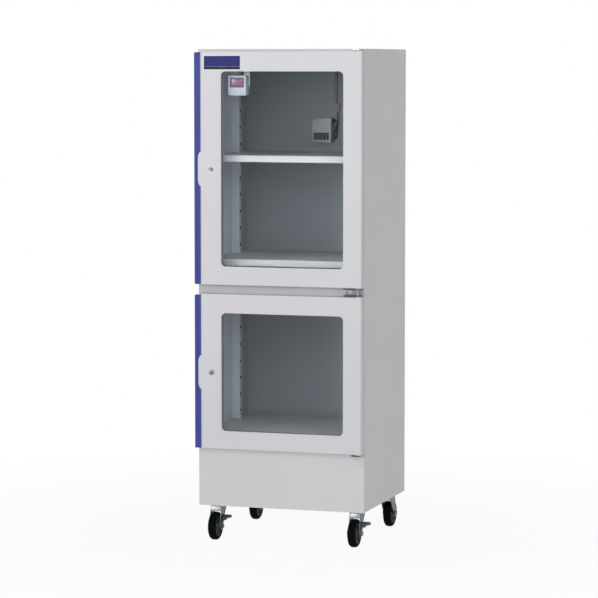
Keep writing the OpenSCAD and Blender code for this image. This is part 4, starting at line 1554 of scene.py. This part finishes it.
# ---- hinges ----


@dataclass
class Screws:
    """Cross-recessed pan-head screws that hold the hinge brackets."""

    radius: float = 3.6
    front: float = -3.9
    back: float = -2.3
    dome: float = 0.9
    cross: Point = (0.45, 0.8, 2.5)
    plated: tuple[Pair, ...] = ((199.0, 740.0), (218.0, 740.0), (237.0, 740.0))
    painted: tuple[Pair, ...] = ((230.5, 244.0), (230.5, 258.0))

    def head(self) -> Piece:
        """Domes one head at the drawing's zero and cuts its cross.

        Returns:
            The head.
        """
        y, (thin, deep, long) = self.front, self.cross
        head = Piece.rod("screw", self.radius, (0, y, 0), (0, self.back, 0), 28)
        head.round_off(lambda c, d: c.y < y + 0.1 and abs(d.y) < 0.1, self.dome, 4)
        for wide, tall in ((thin, long), (long, thin)):
            head.carve(Piece.block("cross", (-wide, y - 1, -tall), (wide, y + deep, tall)))
        return head

    def build(self) -> None:
        """Copies the head to the plated screws' places and to the painted ones'."""
        head = self.head()
        for name, places, finish, drawn_node in (
            ("bracket_screws", self.plated, SCREW, ("hinge_screws",)),
            ("painted_screws", self.painted, BODY, ()),
        ):
            heads = [head.copy("screw", (x, 0, z)) for x, z in places]
            joined(name, heads).settle(finish, "cabinet", "zinc_plate", drawn_node)
        scrap(head)


@dataclass
class Bracket:
    """Pressed middle bracket of the hinges: a bright plate between two ears painted dark as shade.
    """

    left: float = 193.0
    right: float = 243.0
    front: float = -27.0
    low: float = 729.5
    high: float = 750.5
    sheet: float = 2.3
    corner: float = 5.0

    def ear(self) -> Piece:
        """Presses the lower ear with its two round front corners.

        Returns:
            The ear.
        """
        y, z = self.front, self.low
        ear = Piece.block("ear", (self.left, y, z), (self.right, 0, z + self.sheet))
        ear.round_off(along(Axis.Z, lambda c: c.y < y + 0.1), self.corner, 6)
        return ear.ease(0.4, 2, 60.0)

    def build(self) -> None:
        """Settles the plate for the drawn bracket, and the ears with it."""
        inner = (self.left + 0.4, -self.sheet, self.low + self.sheet - 0.2)
        outer = (self.right - 0.4, 0, self.high - self.sheet + 0.2)
        plate = Piece.block("middle_bracket_plate", inner, outer).ease(0.3)
        plate.settle(BRACKET, "cabinet", "zinc_plate", ("middle_hinge_bracket",))
        ear = self.ear()
        upper = ear.copy("ear", (0, 0, self.high - self.low - self.sheet))
        ears = joined("middle_bracket_ears", [ear, upper])
        # The ears are painted dark as the shade round them.
        ears.settle(EAR_SHADE, "cabinet", "zinc_plate")


# ---- casters ----


class Corner(Enum):
    """The four casters: name, x, y of the king pin, and which way the wheel trails."""

    FRONT_LEFT = ("front_left", -212.0, 60.0, -1)
    FRONT_RIGHT = ("front_right", 212.0, 60.0, -1)
    REAR_LEFT = ("rear_left", -212.0, 383.5, 1)
    REAR_RIGHT = ("rear_right", 212.0, 383.5, 1)


TRAIL = 26.0
AXLE_Z = 41.0


@dataclass
class Wheels:
    """Ribbed rubber tyres on nylon hubs, modelled once and copied to the four casters."""

    half_w: float = 12.0
    hub_r: float = 29.5

    def spun(self, name: str, section: Sequence[Pair], steps: int) -> Piece:
        """Spins a section about an axle over the drawing's zero.

        Args:
            name: the piece's name.
            section: the section's corners, as offset along the axle and radius.
            steps: how many facets go round.

        Returns:
            The ring.
        """
        closed = [*section, section[0]]
        points = [(a, 0.0, AXLE_Z + r) for a, r in closed]
        return Piece.lathe(name, points, (0, 0, AXLE_Z), Axis.X, steps)

    def tyre(self) -> Piece:
        """Spins the tyre with rounded shoulders, side bead and two tread grooves.

        Returns:
            The tyre.
        """
        r, w, h = AXLE_Z, self.half_w, self.hub_r
        half = [
            (0.0, r), (3.1, r - 0.02), (3.5, r - 0.7), (4.3, r - 0.7), (4.7, r - 0.15),
            (6.2, r - 0.6), (8.2, r - 1.5), (9.9, r - 3.1), (11.2, r - 5.2), (w, r - 7.4),
            (w, h + 3.4), (w - 0.5, h + 2.9), (w - 0.5, h + 2.0), (w - 0.9, h + 0.2),
        ]
        return self.spun("tyre", [(-a, b) for a, b in reversed(half[1:])] + half, 72)

    def hub(self) -> Piece:
        """Spins the hub with rim, dished web, boss and bearing cover.

        Returns:
            The hub.
        """
        r, w = self.hub_r, self.half_w
        half = [
            (w - 2.0, r), (w - 2.0, r - 2.6), (w - 3.0, r - 3.6), (3.4, r - 5.2), (3.0, r - 6.5),
            (3.0, 16.0), (3.8, 13.4), (5.4, 12.2), (w - 1.0, 11.2), (w - 0.2, 10.4),
            (w - 0.2, 8.4), (w - 1.0, 8.0), (w - 1.0, 4.3),
        ]
        return self.spun("hub", half + [(-a, b) for a, b in reversed(half)], 64)

    def build(self) -> None:
        """Copies tyre and hub to every corner, over the drawn wheels."""
        tyre, hub = self.tyre(), self.hub()
        for name, x, y, way in (corner.value for corner in Corner):
            step, body = (x, y + way * TRAIL, 0.0), f"{name}_wheel"
            tyre.copy(f"{name}_tread", step).settle(TYRE, body, "tyre_rubber", (f"{name}_tyre",))
            hub.copy(f"{name}_rim", step).settle(HUB, body, "hub_nylon", (f"{name}_hub",))
        scrap(tyre, hub)


@dataclass
class Forks:
    """Pressed steel forks, modelled once for the front and once more for the rear."""

    foot_r: float = 10.0
    leg_in: float = 14.5
    leg_t: float = 2.5
    leg_waist: float = 90.0
    leg_top: float = 96.5
    panel_rim: float = 3.2
    panel_deep: float = 0.8
    shoulder: float = 22.08
    crown_low: float = 96.0
    crown_top: float = 99.0
    crown_r: float = 24.0
    web_low: float = 83.3
    web_t: float = 2.5
    axle_r: float = 4.0
    sleeve: float = 3.8
    sleeve_r: float = 6.0
    nut_r: float = 7.0
    nut_t: float = 4.5

    def leg(self) -> Piece:
        """Presses the right leg: round foot, wide shoulder and a sunk panel.

        Returns:
            The leg.
        """
        x, r, s, top = self.leg_in, self.foot_r, self.shoulder, self.leg_top
        arc = [math.radians(a) for a in range(172, 345, 14)]
        foot = [(x, -TRAIL + r * math.cos(a), AXLE_Z + r * math.sin(a)) for a in arc]
        head = [(x, s, self.leg_waist), (x, s, top), (x, -s, top), (x, -s, self.leg_waist)]
        leg = Piece.prism("leg", foot + head, (self.leg_t, 0, 0)).edit()
        leg.pick(Pick.FACE, lambda c, n: n.x > 0.9)
        leg.inset(self.panel_rim).inset(1.0, -self.panel_deep).done()
        return leg.ease(0.4, 2, 50.0)

    def on_axle(self, name: str, radius: float, start: float, end: float, sides: int) -> Piece:
        """Adds a bar along the axle between two values of x."""
        return Piece.rod(name, radius, (start, -TRAIL, AXLE_Z), (end, -TRAIL, AXLE_Z), sides)

    def nut(self, x: float) -> Piece:
        """Turns one chamfered hexagon nut with the axle's end, standing outwards from x."""
        far = x + math.copysign(self.nut_t, x)
        return self.on_axle("nut", self.nut_r, x, far, 6).ease(0.7, 2, 50.0)

    def fork(self, braked: bool) -> tuple[Piece, Piece]:
        """Joins crown and webs, and legs, axle and nuts, over the drawing's zero.

        Args:
            braked: whether the axle carries the brake's sleeve on its right.

        Returns:
            The crown and the legs.
        """
        out, low = self.leg_in + self.leg_t, self.crown_low
        crown = Piece.rod("fork", self.crown_r, (0, 0, low), (0, 0, self.crown_top), 48).edit()
        for side in (1, -1):
            crown.slice((side * out, 0, 0), (side, 0, 0), cut=True)
        crown.tidy().done().ease(0.8, 3, 50.0)
        right = self.leg()
        made = [right.copy("leg").flip()]
        webs = []
        for y in (-self.shoulder, self.shoulder - self.web_t):
            corners = (-out + 0.6, y, self.web_low), (out - 0.6, y + self.web_t, low + 0.5)
            webs.append(Piece.block("web", *corners).ease(0.7, 3))
        end = out + (self.sleeve if braked else 0.0)
        made.append(self.on_axle("axle", self.axle_r, -out, end, 24))
        if braked:
            made.append(self.on_axle("sleeve", self.sleeve_r, out, end, 28))
        made += [self.nut(-out), self.nut(end)]
        return crown.weld(webs), right.weld(made)

    def build(self) -> None:
        """Copies the forks to their corners, the rear ones turned back to front."""
        front = self.fork(True)
        rear = tuple(part.turn(180.0, Axis.Z, (0, 0, 0)) for part in self.fork(False))
        for name, x, y, way in (corner.value for corner in Corner):
            crown, legs = front if way < 0 else rear
            step, body = (x, y, 0), f"{name}_caster"
            crown = crown.copy(f"{name}_pressed_crown", step)
            crown.settle(CROWN_ZINC, body, "zinc_plate", (f"{name}_fork",))
            # The legs wear the fork's zinc painted darker as shade.
            legs.copy(f"{name}_pressed_legs", step).settle(FORK_LEG_SHADE, body, "zinc_plate")
        scrap(*front, *rear)


@dataclass
class Pedals:
    """Brake levers of the front casters with their sloping, ribbed pedals."""

    x: float = 17.4
    arm_t: float = 3.0
    arm_half: float = 5.0
    eye_r: float = 10.0
    bore_r: float = 6.05
    at: Pair = (23.0, 24.0)
    slope: float = 26.2
    reach: float = 24.0
    wide: float = 17.0
    thick: float = 4.0
    ribs: tuple[float, ...] = (-2.0, 0.6, 3.2, 5.8)
    lip: float = 5.0
    lip_to: float = 11.0
    lip_corner: float = 2.0

    def arm(self) -> Piece:
        """Presses the arm with its eye.

        Returns:
            The arm.
        """
        y, z, x0, x1 = -TRAIL, AXLE_Z, self.x, self.x + self.arm_t
        eye = Piece.rod("lever", self.eye_r, (x0, y, z), (x1, y, z), 36)
        low, high = (x0, y, z - self.arm_half), (x1, y + math.hypot(*self.at), z + self.arm_half)
        rise = math.degrees(math.atan2(self.at[1], self.at[0]))
        eye.combine(Piece.block("arm", low, high).turn(rise, Axis.X, (0, y, z)), "UNION")
        bore = Piece.rod("bore", self.bore_r, (x0 - 1, y, z), (x1 + 1, y, z))
        return eye.carve(bore).ease(0.5, 2, 50.0)

    def pedal(self) -> Piece:
        """Presses the ribbed pedal with its turned-down lip, and slopes it.

        Returns:
            The pedal.
        """
        y, z = self.at[0] - TRAIL, self.at[1] + AXLE_Z
        w, t, root, tip = self.wide / 2, self.thick / 2, self.x, self.x + self.reach
        plan = [
            (root, -w), (root + 8.0, -w), (tip - 2.5, -2.2), (tip, 1.2), (tip, w - 3.5),
            (tip - 3.5, w), (root, w),
        ]
        points = [(a, y + b, z - t) for a, b in plan]
        pedal = Piece.prism("pedal", points, (0, 0, self.thick), corner=1.4)
        rib = Piece.block("groove", (root + 4, y - 0.5, z + t - 0.5), (tip - 6, y + 0.5, z + t + 1))
        pedal.punch(rib, [(0, step, 0) for step in self.ribs]).ease(0.5, 2, 50.0)
        edge = y - w + 0.2
        low, high = (root + 0.5, edge, z - t - self.lip), (root + self.lip_to, edge + 2.2, z)
        lip = Piece.block("lip", low, high)
        lip.round_off(along(Axis.Y, lambda c: c.z < z - t), self.lip_corner, 4)
        return pedal.weld([lip.ease(0.4, 2, 50.0)]).turn(self.slope, Axis.X, (0, y, z))

    def build(self) -> None:
        """Copies the lever to both front casters."""
        lever = self.arm().weld([self.pedal()])
        for corner in (Corner.FRONT_LEFT, Corner.FRONT_RIGHT):
            name, x, y, _ = corner.value
            pedal = lever.copy(f"{name}_ribbed_pedal", (x, y, 0))
            pedal.settle(BRAKE, f"{name}_pedal", "brake_steel", (f"{name}_brake",))
        scrap(lever)


class Assembly(Protocol):
    """A sub-assembly of the cabinet."""

    def build(self) -> None:
        """Models its pieces and settles them."""


ASSEMBLIES: tuple[Assembly, ...] = (
    Door(Leaf.UPPER),
    Door(Leaf.LOWER),
    Badge(),
    Hygrometer(),
    DryUnit(),
    Posts(),
    Bracket(),
    Screws(),
    Wheels(),
    Forks(),
    Pedals(),
)


def main() -> None:
    """Builds the studio and dresses the cabinet, sub-assembly by sub-assembly."""
    logging.basicConfig(level=logging.INFO, format="%(message)s")
    Studio().build()
    dress_frame()
    for part in ASSEMBLIES:
        part.build()


if __name__ == "__main__":
    main()
